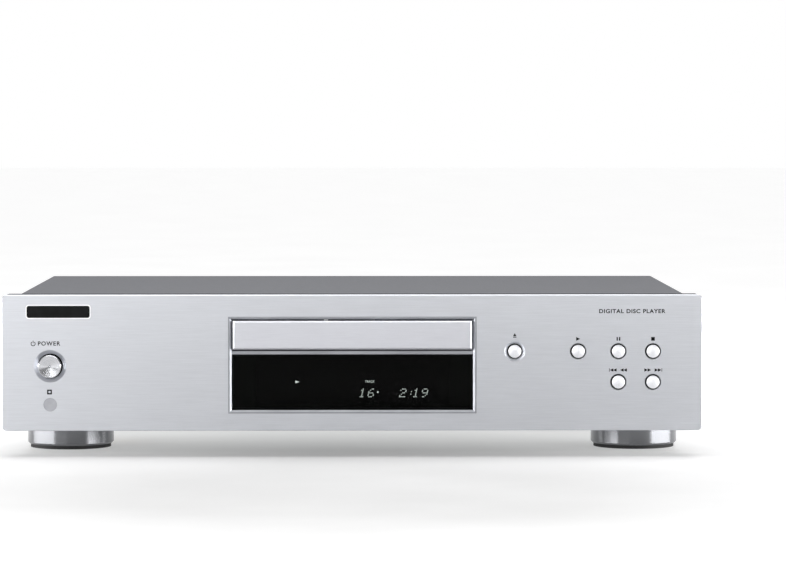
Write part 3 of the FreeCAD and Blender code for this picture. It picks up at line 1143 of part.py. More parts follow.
def make_ribbons():
    """Flat cables lying between the boards and the loader."""
    skin = "ribbon_low + ribbon_thick"
    front = "switch_board_front + board_thick"
    thin = " + ribbon_thick"
    to_keys = fuse("key_ribbon", [
        block("key_ribbon_drop", "140", "152", front, front + thin, "ribbon_low", "44"),
        block("key_ribbon_floor", "140", "152", front, "main_front + 10", "ribbon_low", skin),
        block("key_ribbon_rise", "140", "152", "main_front + 10 - ribbon_thick", "main_front + 10",
              "ribbon_low", "board_low")])
    back = "display_board_front + board_thick"
    edge = "main_left + 8"
    to_display = fuse("display_ribbon", [
        block("display_ribbon_drop", "50", "68", back, back + thin, "ribbon_low", "40"),
        block("display_ribbon_floor", "50", "68", back, "-20", "ribbon_low", skin),
        block("display_ribbon_side", "50", edge, "-38", "-20", "ribbon_low", skin),
        block("display_ribbon_rise", edge + " - ribbon_thick", edge, "-38", "-20",
              "ribbon_low", "board_low")])
    to_pickup = fuse("pickup_ribbon", [
        block("pickup_ribbon_floor", "-10", edge, "-10", "6", "ribbon_low", skin),
        block("pickup_ribbon_rise", edge + " - ribbon_thick", edge, "-10", "6", "ribbon_low", "board_low"),
        block("pickup_ribbon_up", "-10", "-10 + ribbon_thick", "-10", "6", "ribbon_low", "40")])
    group("flat_cables", [to_keys, to_display, to_pickup])


make_front_panel()
make_front_frame()
make_opening_bezel()
make_display_window()
make_badge_and_sensor()
make_buttons()
make_top_cover()
make_chassis()
make_rear_panel()
make_feet()
make_screws()
make_tray_door()
make_disc_tray()
make_loader_frame()
make_clamp()
make_drawer_drive()
make_traverse()
make_spindle()
make_pickup()
make_boards()
make_board_components()
make_transformer()
make_connectors()
make_ribbons()
doc.recompute()

broken = [item.Label for item in doc.Objects if {"Invalid", "Error"} & set(item.State)]
for item in nodes:
    if item.Shape.isNull() or not item.Shape.isValid():
        broken.append(item.Label)
if broken:
    raise RuntimeError("not built: " + ", ".join(sorted(set(broken))))
os.makedirs("parts", exist_ok=True)
for item in nodes:
    item.Shape.exportStep(os.path.join("parts", item.Label + ".step"))
print("%d sub-parts written" % len(nodes))
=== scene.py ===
import math
import bmesh
import bpy
from mathutils import Matrix, Vector


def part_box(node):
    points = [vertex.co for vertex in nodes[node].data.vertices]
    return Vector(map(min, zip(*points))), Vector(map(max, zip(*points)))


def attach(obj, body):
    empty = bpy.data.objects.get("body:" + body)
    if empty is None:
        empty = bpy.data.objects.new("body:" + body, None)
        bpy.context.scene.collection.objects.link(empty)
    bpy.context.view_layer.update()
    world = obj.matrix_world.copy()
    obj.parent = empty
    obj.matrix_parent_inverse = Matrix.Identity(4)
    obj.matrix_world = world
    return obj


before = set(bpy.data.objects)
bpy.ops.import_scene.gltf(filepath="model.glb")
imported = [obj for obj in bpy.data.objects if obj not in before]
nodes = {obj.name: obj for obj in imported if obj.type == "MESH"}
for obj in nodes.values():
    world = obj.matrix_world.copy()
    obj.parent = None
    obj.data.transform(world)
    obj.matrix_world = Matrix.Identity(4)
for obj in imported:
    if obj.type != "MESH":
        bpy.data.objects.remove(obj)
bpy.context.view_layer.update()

print("frame loaded:", len(nodes), "nodes")

standUp = Matrix.Rotation(math.radians(90), 4, "X")  # from lying flat to facing the front


def linear(hexColour):
    # sRGB hex to the linear colour a socket takes
    parts = [int(hexColour[i:i + 2], 16) / 255 for i in (1, 3, 5)]
    return [p / 12.92 if p <= 0.04045 else ((p + 0.055) / 1.055) ** 2.4 for p in parts] + [1]


def addNode(tree, kind, settings=None, links=None):
    # settings are attributes or socket values, links are sockets that feed it
    node = tree.nodes.new(kind)
    for name, value in (settings or {}).items():
        if isinstance(name, str) and hasattr(node, name):
            setattr(node, name, value)
        else:
            node.inputs[name].default_value = value
    for name, source in (links or {}).items():
        tree.links.new(source, node.inputs[name])
    return node


def setStops(ramp, stops):
    # stops are (position, hex colour), in order
    elements = ramp.color_ramp.elements
    while len(elements) < len(stops):
        elements.new(0.5)
    for element, (position, hexColour) in zip(elements, stops):
        element.position = position
        element.color = linear(hexColour)


def startMaterial(name):
    material = bpy.data.materials.new(name)
    material.use_nodes = True
    tree = material.node_tree
    tree.nodes.clear()
    coords = addNode(tree, "ShaderNodeTexCoord").outputs["Object"]
    return material, tree, coords


def endMaterial(tree, shader):
    addNode(tree, "ShaderNodeOutputMaterial", links={"Surface": shader.outputs[0]})


def paint(material, *names):
    # the CAD node keeps its mesh and gets the finish
    for name in names:
        slots = nodes[name].material_slots
        if not slots:
            nodes[name].data.materials.append(material)
        for slot in slots:
            slot.material = material


def middleOf(name):
    low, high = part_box(name)
    return Vector([(a + b) / 2 for a, b in zip(low, high)])


def finishPiece(name, mesh, material, body="cabinet"):
    # bmesh to an object at the origin that rides on a body
    data = bpy.data.meshes.new(name)
    mesh.to_mesh(data)
    mesh.free()
    piece = bpy.data.objects.new(name, data)
    bpy.context.collection.objects.link(piece)
    data.materials.append(material)
    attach(piece, body)


def addBar(mesh, centre, size):
    # upright block, its size in X, Y, Z
    place = Matrix.Translation(centre) @ Matrix.Diagonal((*size, 1))
    return bmesh.ops.create_cube(mesh, size=1, matrix=place)["verts"]


def addTriangle(mesh, centre, width, height, thick, pointing=1):
    # three-sided prism in the plane of the fascia, its tip to the right or the left
    made = bmesh.ops.create_cone(mesh, cap_ends=True, segments=3, radius1=1, radius2=1, depth=1)["verts"]
    # the cone's corners lie at 90, 210 and 330 degrees, so it turns its tip to X, then stands up
    spin = Matrix.Rotation(math.radians(-90), 4, "Z")
    bmesh.ops.transform(mesh, verts=made, matrix=spin)
    low, high = min(v.co.x for v in made), max(v.co.x for v in made)
    bmesh.ops.translate(mesh, verts=made, vec=(-(low + high) / 2, 0, 0))
    # a triangle in a circle of radius 1 is 1.5 long and the root of 3 high
    scale = Matrix.Diagonal((pointing * width / 1.5, height / math.sqrt(3), thick, 1))
    bmesh.ops.transform(mesh, verts=made, matrix=scale)
    bmesh.ops.transform(mesh, verts=made, matrix=Matrix.Translation(centre) @ standUp)
    return made


def addWords(mesh, words, centre, height, thick, spread=1.0, stretch=1.0, turn=0, weight=0.0, side="CENTER"):
    # a line of lettering as a thin raised print on a face that looks to the front, or to the rear if turned
    curve = bpy.data.curves.new("words", "FONT")
    curve.body = words
    curve.size = height / 0.7  # a capital is 0.7 of the font size
    curve.extrude = thick / 2
    curve.space_character = spread
    curve.offset = weight
    curve.align_x = side
    curve.align_y = "CENTER"
    holder = bpy.data.objects.new("words", curve)
    bpy.context.collection.objects.link(holder)
    bpy.context.view_layer.update()
    flat = bpy.data.meshes.new_from_object(holder.evaluated_get(bpy.context.evaluated_depsgraph_get()))
    bpy.data.objects.remove(holder)
    place = Matrix.Translation(centre) @ Matrix.Rotation(turn, 4, "Z") @ standUp
    flat.transform(place @ Matrix.Diagonal((stretch, 1, 1, 1)))
    mesh.from_mesh(flat)
    bpy.data.meshes.remove(flat)


# metals

def makeLinedMetal(name, spec):
    # Metal with a level grain, brushed or turned: fine streaks along X, and highlights that stretch
    # across them. Real grit lines are about 0.1 mm apart, drawn coarser to show.
    material, tree, coords = startMaterial(name)
    smooth, rough = spec["roughness"]
    stretch = (1 / spec["streakLength"], 1 / spec["streakWidth"], 1 / spec["streakWidth"])
    across = addNode(tree, "ShaderNodeMapping", {"Scale": stretch}, {"Vector": coords})
    streaks = addNode(tree, "ShaderNodeTexNoise", {"Scale": 1, "Detail": 6, "Roughness": 0.7},
                      {"Vector": across.outputs[0]})
    tone = addNode(tree, "ShaderNodeValToRGB", links={"Fac": streaks.outputs["Fac"]})
    setStops(tone, [(0.30, spec["dark"]), (0.70, spec["light"])])
    gloss = addNode(tree, "ShaderNodeMapRange",
                    {"From Min": 0.3, "From Max": 0.7, "To Min": smooth, "To Max": rough},
                    {"Value": streaks.outputs["Fac"]})
    relief = addNode(tree, "ShaderNodeBump", {"Strength": spec["bump"], "Distance": 0.0001},
                     {"Height": streaks.outputs["Fac"]})
    facing = addNode(tree, "ShaderNodeNewGeometry").outputs["Normal"]
    # the grain runs along X; the small lean keeps a direction on the end faces too
    acrossGrain = addNode(tree, "ShaderNodeVectorMath", {"operation": "CROSS_PRODUCT", 1: (1, 0, 0.03)},
                          {0: facing})
    shader = addNode(tree, "ShaderNodeBsdfPrincipled",
                     {"Metallic": 1.0, "Anisotropic": spec["anisotropy"]},
                     {"Base Color": tone.outputs[0], "Roughness": gloss.outputs[0],
                      "Normal": relief.outputs[0], "Tangent": acrossGrain.outputs[0]})
    endMaterial(tree, shader)
    return material


def gapShadeBehind(tree, coords, metal, gloss, spec):
    # past a key's metal cap its body is painted near black: painted shade in the gap between the key and the
    # fascia's hole
    body = addNode(tree, "ShaderNodeBsdfPrincipled",
                   {"Base Color": linear(spec["body"]), "IOR": 1.5, "Specular IOR Level": 0.2},
                   {"Roughness": gloss.outputs[0]})
    depth = addNode(tree, "ShaderNodeSeparateXYZ", links={"Vector": coords})
    behind = addNode(tree, "ShaderNodeMapRange",
                     {"From Min": spec["edge"], "From Max": spec["edge"] + 0.0001},
                     {"Value": depth.outputs["Y"]})
    return addNode(tree, "ShaderNodeMixShader",
                   links={0: behind.outputs[0], 1: metal.outputs[0], 2: body.outputs[0]})


def makeTurnedAluminium(name, centre, spec):
    # Aluminium faced on a lathe: fine rings that fan the light out in wedges from the middle.
    # Tool marks are about 0.05 mm apart, drawn 0.25 mm apart.
    material, tree, coords = startMaterial(name)
    smooth, rough = spec["roughness"]
    local = addNode(tree, "ShaderNodeVectorMath", {"operation": "SUBTRACT", 1: centre}, {0: coords})
    flat = addNode(tree, "ShaderNodeVectorMath", {"operation": "MULTIPLY", 1: (1, 0, 1)},
                   {0: local.outputs[0]})
    reach = addNode(tree, "ShaderNodeVectorMath", {"operation": "LENGTH"}, {0: flat.outputs[0]})
    rings = addNode(tree, "ShaderNodeTexNoise",
                    {"noise_dimensions": "1D", "Scale": 1 / spec["ring"], "Detail": 3},
                    {"W": reach.outputs["Value"]})
    tone = addNode(tree, "ShaderNodeValToRGB", links={"Fac": rings.outputs["Fac"]})
    setStops(tone, [(0.3, spec["dark"]), (0.7, spec["light"])])
    gloss = addNode(tree, "ShaderNodeMapRange", {"To Min": smooth, "To Max": rough},
                    {"Value": rings.outputs["Fac"]})
    relief = addNode(tree, "ShaderNodeBump", {"Strength": spec["bump"], "Distance": 0.0001},
                     {"Height": rings.outputs["Fac"]})
    metal = addNode(tree, "ShaderNodeBsdfPrincipled",
                    {"Metallic": 1.0, "Anisotropic": spec["anisotropy"]},
                    {"Base Color": tone.outputs[0], "Roughness": gloss.outputs[0],
                     "Tangent": flat.outputs[0], "Normal": relief.outputs[0]})
    # past the cap's edge it turns near black: painted shade in the gap round the key
    endMaterial(tree, gapShadeBehind(tree, coords, metal, gloss, spec))
    return material


def makePlatedMetal(name, spec):
    # Plated or ground metal: one tone that clouds a little, with faint handling marks in the gloss.
    material, tree, coords = startMaterial(name)
    smooth, rough = spec["roughness"]
    cloud = addNode(tree, "ShaderNodeTexNoise", {"Scale": 1 / spec["cloud"], "Detail": 3},
                    {"Vector": coords})
    fine = addNode(tree, "ShaderNodeTexNoise", {"Scale": 1 / spec["grain"], "Detail": 4, "Roughness": 0.7},
                   {"Vector": coords})
    tone = addNode(tree, "ShaderNodeValToRGB", links={"Fac": cloud.outputs["Fac"]})
    setStops(tone, [(0.35, spec["dark"]), (0.65, spec["light"])])
    gloss = addNode(tree, "ShaderNodeMapRange",
                    {"From Min": 0.35, "From Max": 0.65, "To Min": smooth, "To Max": rough},
                    {"Value": fine.outputs["Fac"]})
    relief = addNode(tree, "ShaderNodeBump", {"Strength": spec["bump"], "Distance": 0.0002},
                     {"Height": fine.outputs["Fac"]})
    shader = addNode(tree, "ShaderNodeBsdfPrincipled", {"Metallic": 1.0},
                     {"Base Color": tone.outputs[0], "Roughness": gloss.outputs[0],
                      "Normal": relief.outputs[0]})
    endMaterial(tree, shader)
    return material


def makeKeyCap(name, spec):
    # Satin aluminium, blasted and anodised: a soft even silver with a very fine grain.
    material, tree, coords = startMaterial(name)
    smooth, rough = spec["roughness"]
    grain = addNode(tree, "ShaderNodeTexNoise",
                    {"Scale": 1 / spec["grain"], "Detail": 4, "Roughness": 0.7}, {"Vector": coords})
    tone = addNode(tree, "ShaderNodeValToRGB", links={"Fac": grain.outputs["Fac"]})
    setStops(tone, [(0.35, spec["dark"]), (0.65, spec["light"])])
    gloss = addNode(tree, "ShaderNodeMapRange",
                    {"From Min": 0.35, "From Max": 0.65, "To Min": smooth, "To Max": rough},
                    {"Value": grain.outputs["Fac"]})
    relief = addNode(tree, "ShaderNodeBump", {"Strength": spec["bump"], "Distance": 0.0002},
                     {"Height": grain.outputs["Fac"]})
    metal = addNode(tree, "ShaderNodeBsdfPrincipled", {"Metallic": 1.0},
                    {"Base Color": tone.outputs[0], "Roughness": gloss.outputs[0],
                     "Normal": relief.outputs[0]})
    # past the cap's edge it turns near black: painted shade in the gap round the key
    endMaterial(tree, gapShadeBehind(tree, coords, metal, gloss, spec))
    return material


def makeZincSteel():
    # Galvanised sheet steel: pale grey crystals about 6 mm across under a thin shine.
    spec = {"light": "#C6C9C8", "dark": "#A9ADAD", "spangle": 0.006, "roughness": (0.32, 0.5)}
    material, tree, coords = startMaterial("galvanisedSheet")
    smooth, rough = spec["roughness"]
    crystals = addNode(tree, "ShaderNodeTexVoronoi", {"Scale": 1 / spec["spangle"], "Randomness": 1.0},
                       {"Vector": coords})
    single = addNode(tree, "ShaderNodeSeparateColor", links={"Color": crystals.outputs["Color"]})
    tone = addNode(tree, "ShaderNodeValToRGB", links={"Fac": single.outputs[0]})
    setStops(tone, [(0.1, spec["dark"]), (0.9, spec["light"])])
    gloss = addNode(tree, "ShaderNodeMapRange", {"To Min": smooth, "To Max": rough},
                    {"Value": single.outputs[1]})
    shader = addNode(tree, "ShaderNodeBsdfPrincipled", {"Metallic": 1.0},
                     {"Base Color": tone.outputs[0], "Roughness": gloss.outputs[0]})
    endMaterial(tree, shader)
    return material


# paints, plastics and rubber

def makePaint(name, spec):
    # Baked textured paint on sheet metal: a close orange peel whose crests are painted a little paler than
    # its valleys, painted light on the crests and painted shade in the valleys. Real peel is about 0.5 mm,
    # drawn coarser to show.
    material, tree, coords = startMaterial(name)
    smooth, rough = spec["roughness"]
    peel = addNode(tree, "ShaderNodeTexNoise", {"Scale": 1 / spec["peel"], "Detail": 2}, {"Vector": coords})
    tone = addNode(tree, "ShaderNodeValToRGB", links={"Fac": peel.outputs["Fac"]})
    setStops(tone, [(0.3, spec["dark"]), (0.7, spec["light"])])
    gloss = addNode(tree, "ShaderNodeMapRange",
                    {"From Min": 0.3, "From Max": 0.7, "To Min": smooth, "To Max": rough},
                    {"Value": peel.outputs["Fac"]})
    relief = addNode(tree, "ShaderNodeBump", {"Strength": spec["bump"], "Distance": 0.0003},
                     {"Height": peel.outputs["Fac"]})
    shader = addNode(tree, "ShaderNodeBsdfPrincipled",
                     {"Metallic": spec["metallic"], "IOR": 1.5,
                      "Specular IOR Level": spec.get("specular", 0.5)},
                     {"Base Color": tone.outputs[0], "Roughness": gloss.outputs[0],
                      "Normal": relief.outputs[0]})
    endMaterial(tree, shader)
    return material


def makePlastic(name, spec):
    # Injection moulded plastic: spark-eroded grain in the bump, a slightly uneven tone and gloss.
    material, tree, coords = startMaterial(name)
    smooth, rough = spec["roughness"]
    grain = addNode(tree, "ShaderNodeTexVoronoi", {"Scale": 1 / spec["grain"]}, {"Vector": coords})
    flow = addNode(tree, "ShaderNodeTexNoise", {"Scale": 1 / spec["flow"], "Detail": 3}, {"Vector": coords})
    tone = addNode(tree, "ShaderNodeValToRGB", links={"Fac": flow.outputs["Fac"]})
    setStops(tone, [(0.3, spec["dark"]), (0.7, spec["light"])])
    gloss = addNode(tree, "ShaderNodeMapRange",
                    {"From Min": 0.3, "From Max": 0.7, "To Min": smooth, "To Max": rough},
                    {"Value": flow.outputs["Fac"]})
    relief = addNode(tree, "ShaderNodeBump", {"Strength": spec["bump"], "Distance": 0.0002},
                     {"Height": grain.outputs["Distance"]})
    shader = addNode(tree, "ShaderNodeBsdfPrincipled",
                     {"IOR": 1.5, "Specular IOR Level": spec.get("specular", 0.5),
                      "Subsurface Weight": spec.get("depth", 0.0),
                      "Subsurface Radius": (0.002, 0.0015, 0.001)},
                     {"Base Color": tone.outputs[0], "Roughness": gloss.outputs[0],
                      "Normal": relief.outputs[0]})
    endMaterial(tree, shader)
    return material


def makeSmokedAcrylic():
    # Smoked acrylic, polished: almost black, clear enough for lit characters to come through.
    spec = {"tint": "#787C7A", "roughness": (0.02, 0.05), "scuff": 0.012, "edge": 1.12}
    material, tree, coords = startMaterial("smokedAcrylic")
    smooth, rough = spec["roughness"]
    scuff = addNode(tree, "ShaderNodeTexNoise",
                    {"Scale": 1 / spec["scuff"], "Detail": 5, "Roughness": 0.7}, {"Vector": coords})
    gloss = addNode(tree, "ShaderNodeMapRange",
                    {"From Min": 0.3, "From Max": 0.7, "To Min": smooth, "To Max": rough},
                    {"Value": scuff.outputs["Fac"]})
    through = addNode(tree, "ShaderNodeBsdfTransparent", {"Color": linear(spec["tint"])})
    shine = addNode(tree, "ShaderNodeBsdfGlossy", {"Color": linear("#FFFFFF")},
                    {"Roughness": gloss.outputs[0]})
    edge = addNode(tree, "ShaderNodeFresnel", {"IOR": spec["edge"]})
    shader = addNode(tree, "ShaderNodeMixShader",
                     links={0: edge.outputs[0], 1: through.outputs[0], 2: shine.outputs[0]})
    endMaterial(tree, shader)
    return material


def makeCircuitBoard():
    # Glass-fibre board under green solder mask: paler lines where copper tracks run beneath it, drawn
    # eight times coarser than their 2.5 mm pitch.
    spec = {"mask": "#1E5A33", "track": "#2F7A46", "trackPitch": 0.0025, "coarser": 8, "line": 0.03,
            "bump": 0.2, "roughness": 0.28}
    material, tree, coords = startMaterial("greenCircuitBoard")
    tracks = addNode(tree, "ShaderNodeTexBrick",
                     {"Scale": 1 / spec["trackPitch"] / spec["coarser"], "Mortar Size": spec["line"],
                      "Color1": linear(spec["mask"]), "Color2": linear(spec["mask"]),
                      "Mortar": linear(spec["track"])}, {"Vector": coords})
    relief = addNode(tree, "ShaderNodeBump", {"Strength": spec["bump"], "Distance": 0.0001},
                     {"Height": tracks.outputs["Fac"]})
    shader = addNode(tree, "ShaderNodeBsdfPrincipled", {"IOR": 1.5, "Roughness": spec["roughness"]},
                     {"Base Color": tracks.outputs["Color"], "Normal": relief.outputs[0]})
    endMaterial(tree, shader)
    return material


def makeWinding():
    # Polyester tape round a winding: amber laps 3 mm apart with a soft shine. The wave's scale is in
    # turns of about 6.28.
    spec = {"light": "#D9A63A", "dark": "#B5812A", "lap": 0.003, "bump": 0.3, "roughness": 0.35}
    material, tree, coords = startMaterial("windingTape")
    laps = addNode(tree, "ShaderNodeTexWave",
                   {"wave_type": "BANDS", "bands_direction": "Z", "Scale": 1 / spec["lap"] / 6.28,
                    "Distortion": 0.4}, {"Vector": coords})
    tone = addNode(tree, "ShaderNodeValToRGB", links={"Fac": laps.outputs["Fac"]})
    setStops(tone, [(0.2, spec["dark"]), (0.8, spec["light"])])
    relief = addNode(tree, "ShaderNodeBump", {"Strength": spec["bump"], "Distance": 0.0002},
                     {"Height": laps.outputs["Fac"]})
    shader = addNode(tree, "ShaderNodeBsdfPrincipled", {"IOR": 1.5, "Roughness": spec["roughness"]},
                     {"Base Color": tone.outputs[0], "Normal": relief.outputs[0]})
    endMaterial(tree, shader)
    return material


def makeGlow(name, spec):
    # Phosphor behind glass: a near-white light, a little uneven from dot to dot.
    material, tree, coords = startMaterial(name)
    weakest, strongest = spec["uneven"]
    grain = addNode(tree, "ShaderNodeTexNoise", {"Scale": 1 / spec["speckle"], "Detail": 2},
                    {"Vector": coords})
    strength = addNode(tree, "ShaderNodeMapRange",
                       {"From Min": 0.3, "From Max": 0.7, "To Min": spec["strength"] * weakest,
                        "To Max": spec["strength"] * strongest}, {"Value": grain.outputs["Fac"]})
    shader = addNode(tree, "ShaderNodeEmission", {"Color": linear(spec["colour"])},
                     {"Strength": strength.outputs[0]})
    endMaterial(tree, shader)
    return material


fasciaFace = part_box("front_panel")[0].y
# brushed and anodised sheet: fine level streaks in a bright cool silver
brushedAluminium = makeLinedMetal("brushedAluminium", {
    "light": "#CFD1D6", "dark": "#C5C7CC", "streakWidth": 0.0006, "streakLength": 0.022,
    "roughness": (0.30, 0.38), "bump": 0.06, "anisotropy": 0.6})
# finer brushing on the tray door: a smoother, slightly paler silver
satinAluminium = makeLinedMetal("satinAluminium", {
    "light": "#D9DAE0", "dark": "#D1D2D8", "streakWidth": 0.0004, "streakLength": 0.012,
    "roughness": (0.28, 0.34), "bump": 0.03, "anisotropy": 0.4})
# the standby cap, faced on a lathe: rings that fan the light out in wedges; deeper than its edge it is
# painted near black, painted shade in the gap round it
turnedFace = makeTurnedAluminium("turnedAluminium", middleOf("standby_button"), {
    "light": "#D6D7DA", "dark": "#B0B1B5", "ring": 0.00025, "roughness": (0.18, 0.22), "bump": 0.02,
    "anisotropy": 0.9, "body": "#0C0C0D", "edge": fasciaFace + 0.0014})
# blasted and anodised key caps: a soft even silver; behind the cap's edge they are painted near black,
# painted shade in the gap round each key
satinCap = makeKeyCap("satinAluminiumCap", {
    "light": "#E4E5E8", "dark": "#D8D9DD", "grain": 0.0006, "roughness": (0.42, 0.50), "bump": 0.03,
    "body": "#0C0C0D", "edge": fasciaFace - 0.0001})
# turned and chromed feet: bright and dark upright bands
turnedChrome = makeLinedMetal("turnedChrome", {
    "light": "#88898C", "dark": "#7E7F82", "streakWidth": 0.0004, "streakLength": 0.03,
    "roughness": (0.22, 0.28), "bump": 0.02, "anisotropy": 0.8})
# satin plating on the opening's bezel: a plain mid silver
silverPlate = makePlatedMetal("satinSilverPlate", {
    "light": "#9FA1A6", "dark": "#93959A", "cloud": 0.02, "grain": 0.0008, "roughness": (0.34, 0.42),
    "bump": 0.02})
# ground rods and pins: a bright, narrow shine
brightSteel = makePlatedMetal("groundSteel", {
    "light": "#C9CACC", "dark": "#B9BBBE", "cloud": 0.01, "grain": 0.0007, "roughness": (0.12, 0.22),
    "bump": 0.02})
# nickel-plated motor cans: a soft grey shine
canSteel = makePlatedMetal("nickelPlatedCan", {
    "light": "#AEB0B3", "dark": "#9C9EA2", "cloud": 0.008, "grain": 0.0008, "roughness": (0.25, 0.4),
    "bump": 0.03})
# die-cast zinc: dull grey and slightly rough
castZinc = makePlatedMetal("castZinc", {
    "light": "#8E9093", "dark": "#77797D", "cloud": 0.006, "grain": 0.0009, "roughness": (0.45, 0.6),
    "bump": 0.15})
# varnished laminations: dark grey with a dull sheen
coreSteel = makePlatedMetal("varnishedLaminations", {
    "light": "#5B5C60", "dark": "#45464A", "cloud": 0.01, "grain": 0.0006, "roughness": (0.4, 0.6),
    "bump": 0.2})
# gold plating on the phono sockets: warm and bright
goldPlate = makePlatedMetal("goldPlate", {
    "light": "#E6C878", "dark": "#D8B65F", "cloud": 0.004, "grain": 0.0006, "roughness": (0.16, 0.26),
    "bump": 0.02})
# turned brass: a duller yellow with a soft shine
turnedBrass = makePlatedMetal("turnedBrass", {
    "light": "#D0B36A", "dark": "#BFA058", "cloud": 0.004, "grain": 0.0005, "roughness": (0.2, 0.32),
    "bump": 0.04})
# sintered ferrite: almost black and matt
ferrite = makePlatedMetal("sinteredFerrite", {
    "light": "#3E3F42", "dark": "#2E2F32", "cloud": 0.003, "grain": 0.0004, "roughness": (0.5, 0.65),
    "bump": 0.15})
zincSheet = makeZincSteel()
# mid grey textured paint: nearly matt, with a fine speckle of painted light and shade on its peel
coverPaint = makePaint("greyCoverPaint", {
    "light": "#76777B", "dark": "#606165", "peel": 0.0014, "roughness": (0.50, 0.60), "bump": 0.25,
    "metallic": 0.0, "specular": 0.12})
# black textured paint: dark with a faint sheen
rearPaint = makePaint("blackRearPaint", {
    "light": "#2B2C2E", "dark": "#242527", "peel": 0.0012, "roughness": (0.4, 0.5), "bump": 0.12,
    "metallic": 0.0})
# blackened screw steel: dark with a small metal shine
screwBlack = makePaint("blackOxide", {
    "light": "#26272A", "dark": "#1B1C1E", "peel": 0.0008, "roughness": (0.3, 0.42), "bump": 0.1,
    "metallic": 0.6})
# moulded ABS: dull mid grey
framePlastic = makePlastic("greyAbsFrame", {
    "light": "#58595C", "dark": "#505154", "grain": 0.0008, "flow": 0.03, "roughness": (0.60, 0.70),
    "bump": 0.1, "specular": 0.0})
# moulded ABS: black with an eroded grain
blackPlastic = makePlastic("blackAbs", {
    "light": "#2A2A2C", "dark": "#202022", "grain": 0.0008, "flow": 0.03, "roughness": (0.38, 0.5),
    "bump": 0.1})
# polished ABS: black with a clear shine
glossBlack = makePlastic("glossBlackAbs", {
    "light": "#1E1E20", "dark": "#171718", "grain": 0.002, "flow": 0.02, "roughness": (0.16, 0.26),
    "bump": 0.03})
# moulded acetal: milky white, a little light goes in
acetal = makePlastic("whiteAcetal", {
    "light": "#E9E6DC", "dark": "#DEDACE", "grain": 0.001, "flow": 0.01, "roughness": (0.35, 0.45),
    "bump": 0.04, "depth": 0.15})
# tinted lens over the receiver: pale grey
sensorPlastic = makePlastic("greySensorLens", {
    "light": "#9C9DA2", "dark": "#94959A", "grain": 0.0008, "flow": 0.004, "roughness": (0.3, 0.42),
    "bump": 0.05, "depth": 0.1})
# epoxy packages: matt charcoal
chipPlastic = makePlastic("epoxyPackage", {
    "light": "#2B2C2E", "dark": "#202123", "grain": 0.0006, "flow": 0.008, "roughness": (0.5, 0.62),
    "bump": 0.12})
# flat cable jackets: off-white, slightly ribbed
ribbonPlastic = makePlastic("whiteRibbon", {
    "light": "#E4E3DC", "dark": "#CFCEC6", "grain": 0.001, "flow": 0.002, "roughness": (0.4, 0.5),
    "bump": 0.08})
# unlit display glass: greenish black and shiny
tubeGlass = makePlastic("darkTubeGlass", {
    "light": "#0A1411", "dark": "#060D0B", "grain": 0.001, "flow": 0.02, "roughness": (0.08, 0.14),
    "bump": 0.02})
# rubber: matt black
rubber = makePlastic("blackRubber", {
    "light": "#1C1C1D", "dark": "#141415", "grain": 0.0006, "flow": 0.006, "roughness": (0.65, 0.8),
    "bump": 0.2})
# enamel on the badge: deep black and smooth
badgeEnamel = makePlastic("blackBadgeEnamel", {
    "light": "#121314", "dark": "#0A0B0B", "grain": 0.001, "flow": 0.006, "roughness": (0.15, 0.25),
    "bump": 0.02, "specular": 0.12})
# screen print ink: matt black
screenInk = makePlastic("blackScreenInk", {
    "light": "#0F0F10", "dark": "#09090A", "grain": 0.0003, "flow": 0.002, "roughness": (0.55, 0.7),
    "bump": 0.05, "specular": 0.08})
# white print and insulator: plain matt white
whiteInk = makePlastic("whiteScreenInk", {
    "light": "#E2E2E0", "dark": "#D4D4D2", "grain": 0.0003, "flow": 0.002, "roughness": (0.5, 0.65),
    "bump": 0.05})
# the badge's rim: nearly white, a painted highlight along its raised edge
rimHighlightPaint = makePlastic("badgeRimPaintedHighlight", {
    "light": "#F6F6F7", "dark": "#ECECEE", "grain": 0.0006, "flow": 0.003, "roughness": (0.3, 0.4),
    "bump": 0.03})
# red insulator: a plain strong red
redPlastic = makePlastic("redInsulator", {
    "light": "#B02A26", "dark": "#9C211E", "grain": 0.0006, "flow": 0.003, "roughness": (0.3, 0.4),
    "bump": 0.03})
# coated lens: a deep blue glint
lensBlue = makePlastic("clearCoatedLens", {
    "light": "#3A4C78", "dark": "#2A3960", "grain": 0.001, "flow": 0.002, "roughness": (0.03, 0.06),
    "bump": 0.0})
smokedAcrylic = makeSmokedAcrylic()
greenBoard = makeCircuitBoard()
windingTape = makeWinding()
# lit phosphor dots: near white, bright enough to cross the dark window
phosphor = makeGlow("phosphorGlow", {
    "colour": "#F4F2F2", "strength": 20.0, "speckle": 0.0008, "uneven": (0.8, 1.15)})
print("materials made:", len(bpy.data.materials))

paint(brushedAluminium, "front_panel")
paint(satinAluminium, "tray_door")
paint(turnedFace, "standby_button")
paint(satinCap, "eject_button", "play_button", "pause_button", "stop_button", "back_button",
      "forward_button")
paint(turnedChrome, "foot_front_left", "foot_front_right", "foot_back_left", "foot_back_right")
paint(silverPlate, "opening_bezel")
paint(framePlastic, "front_frame")
paint(smokedAcrylic, "display_window")
paint(tubeGlass, "display_tube")
paint(sensorPlastic, "remote_window")
paint(badgeEnamel, "name_badge")
paint(coverPaint, "top_cover")
paint(rearPaint, "rear_panel")
paint(zincSheet, "chassis_base", "loader_brackets", "clamp_bridge", "chassis_screws")
paint(screwBlack, "cover_screws")
paint(rubber, "foot_pads", "drive_belt")
paint(blackPlastic, "disc_tray", "loader_frame", "traverse_frame", "turntable", "tact_switches",
      "objective_lens")
paint(acetal, "clamp_puck", "tray_gear", "pulley_gear", "cam_slider", "sled_gear", "sled_pinion")
paint(ferrite, "clamp_magnet")
paint(turnedBrass, "motor_pulley")
paint(canSteel, "loading_motor", "spindle_motor", "sled_motor")
paint(brightSteel, "traverse_pins", "guide_rods")
paint(castZinc, "pickup_body")
paint(greenBoard, "main_board", "power_board", "button_board", "standby_board", "display_board")
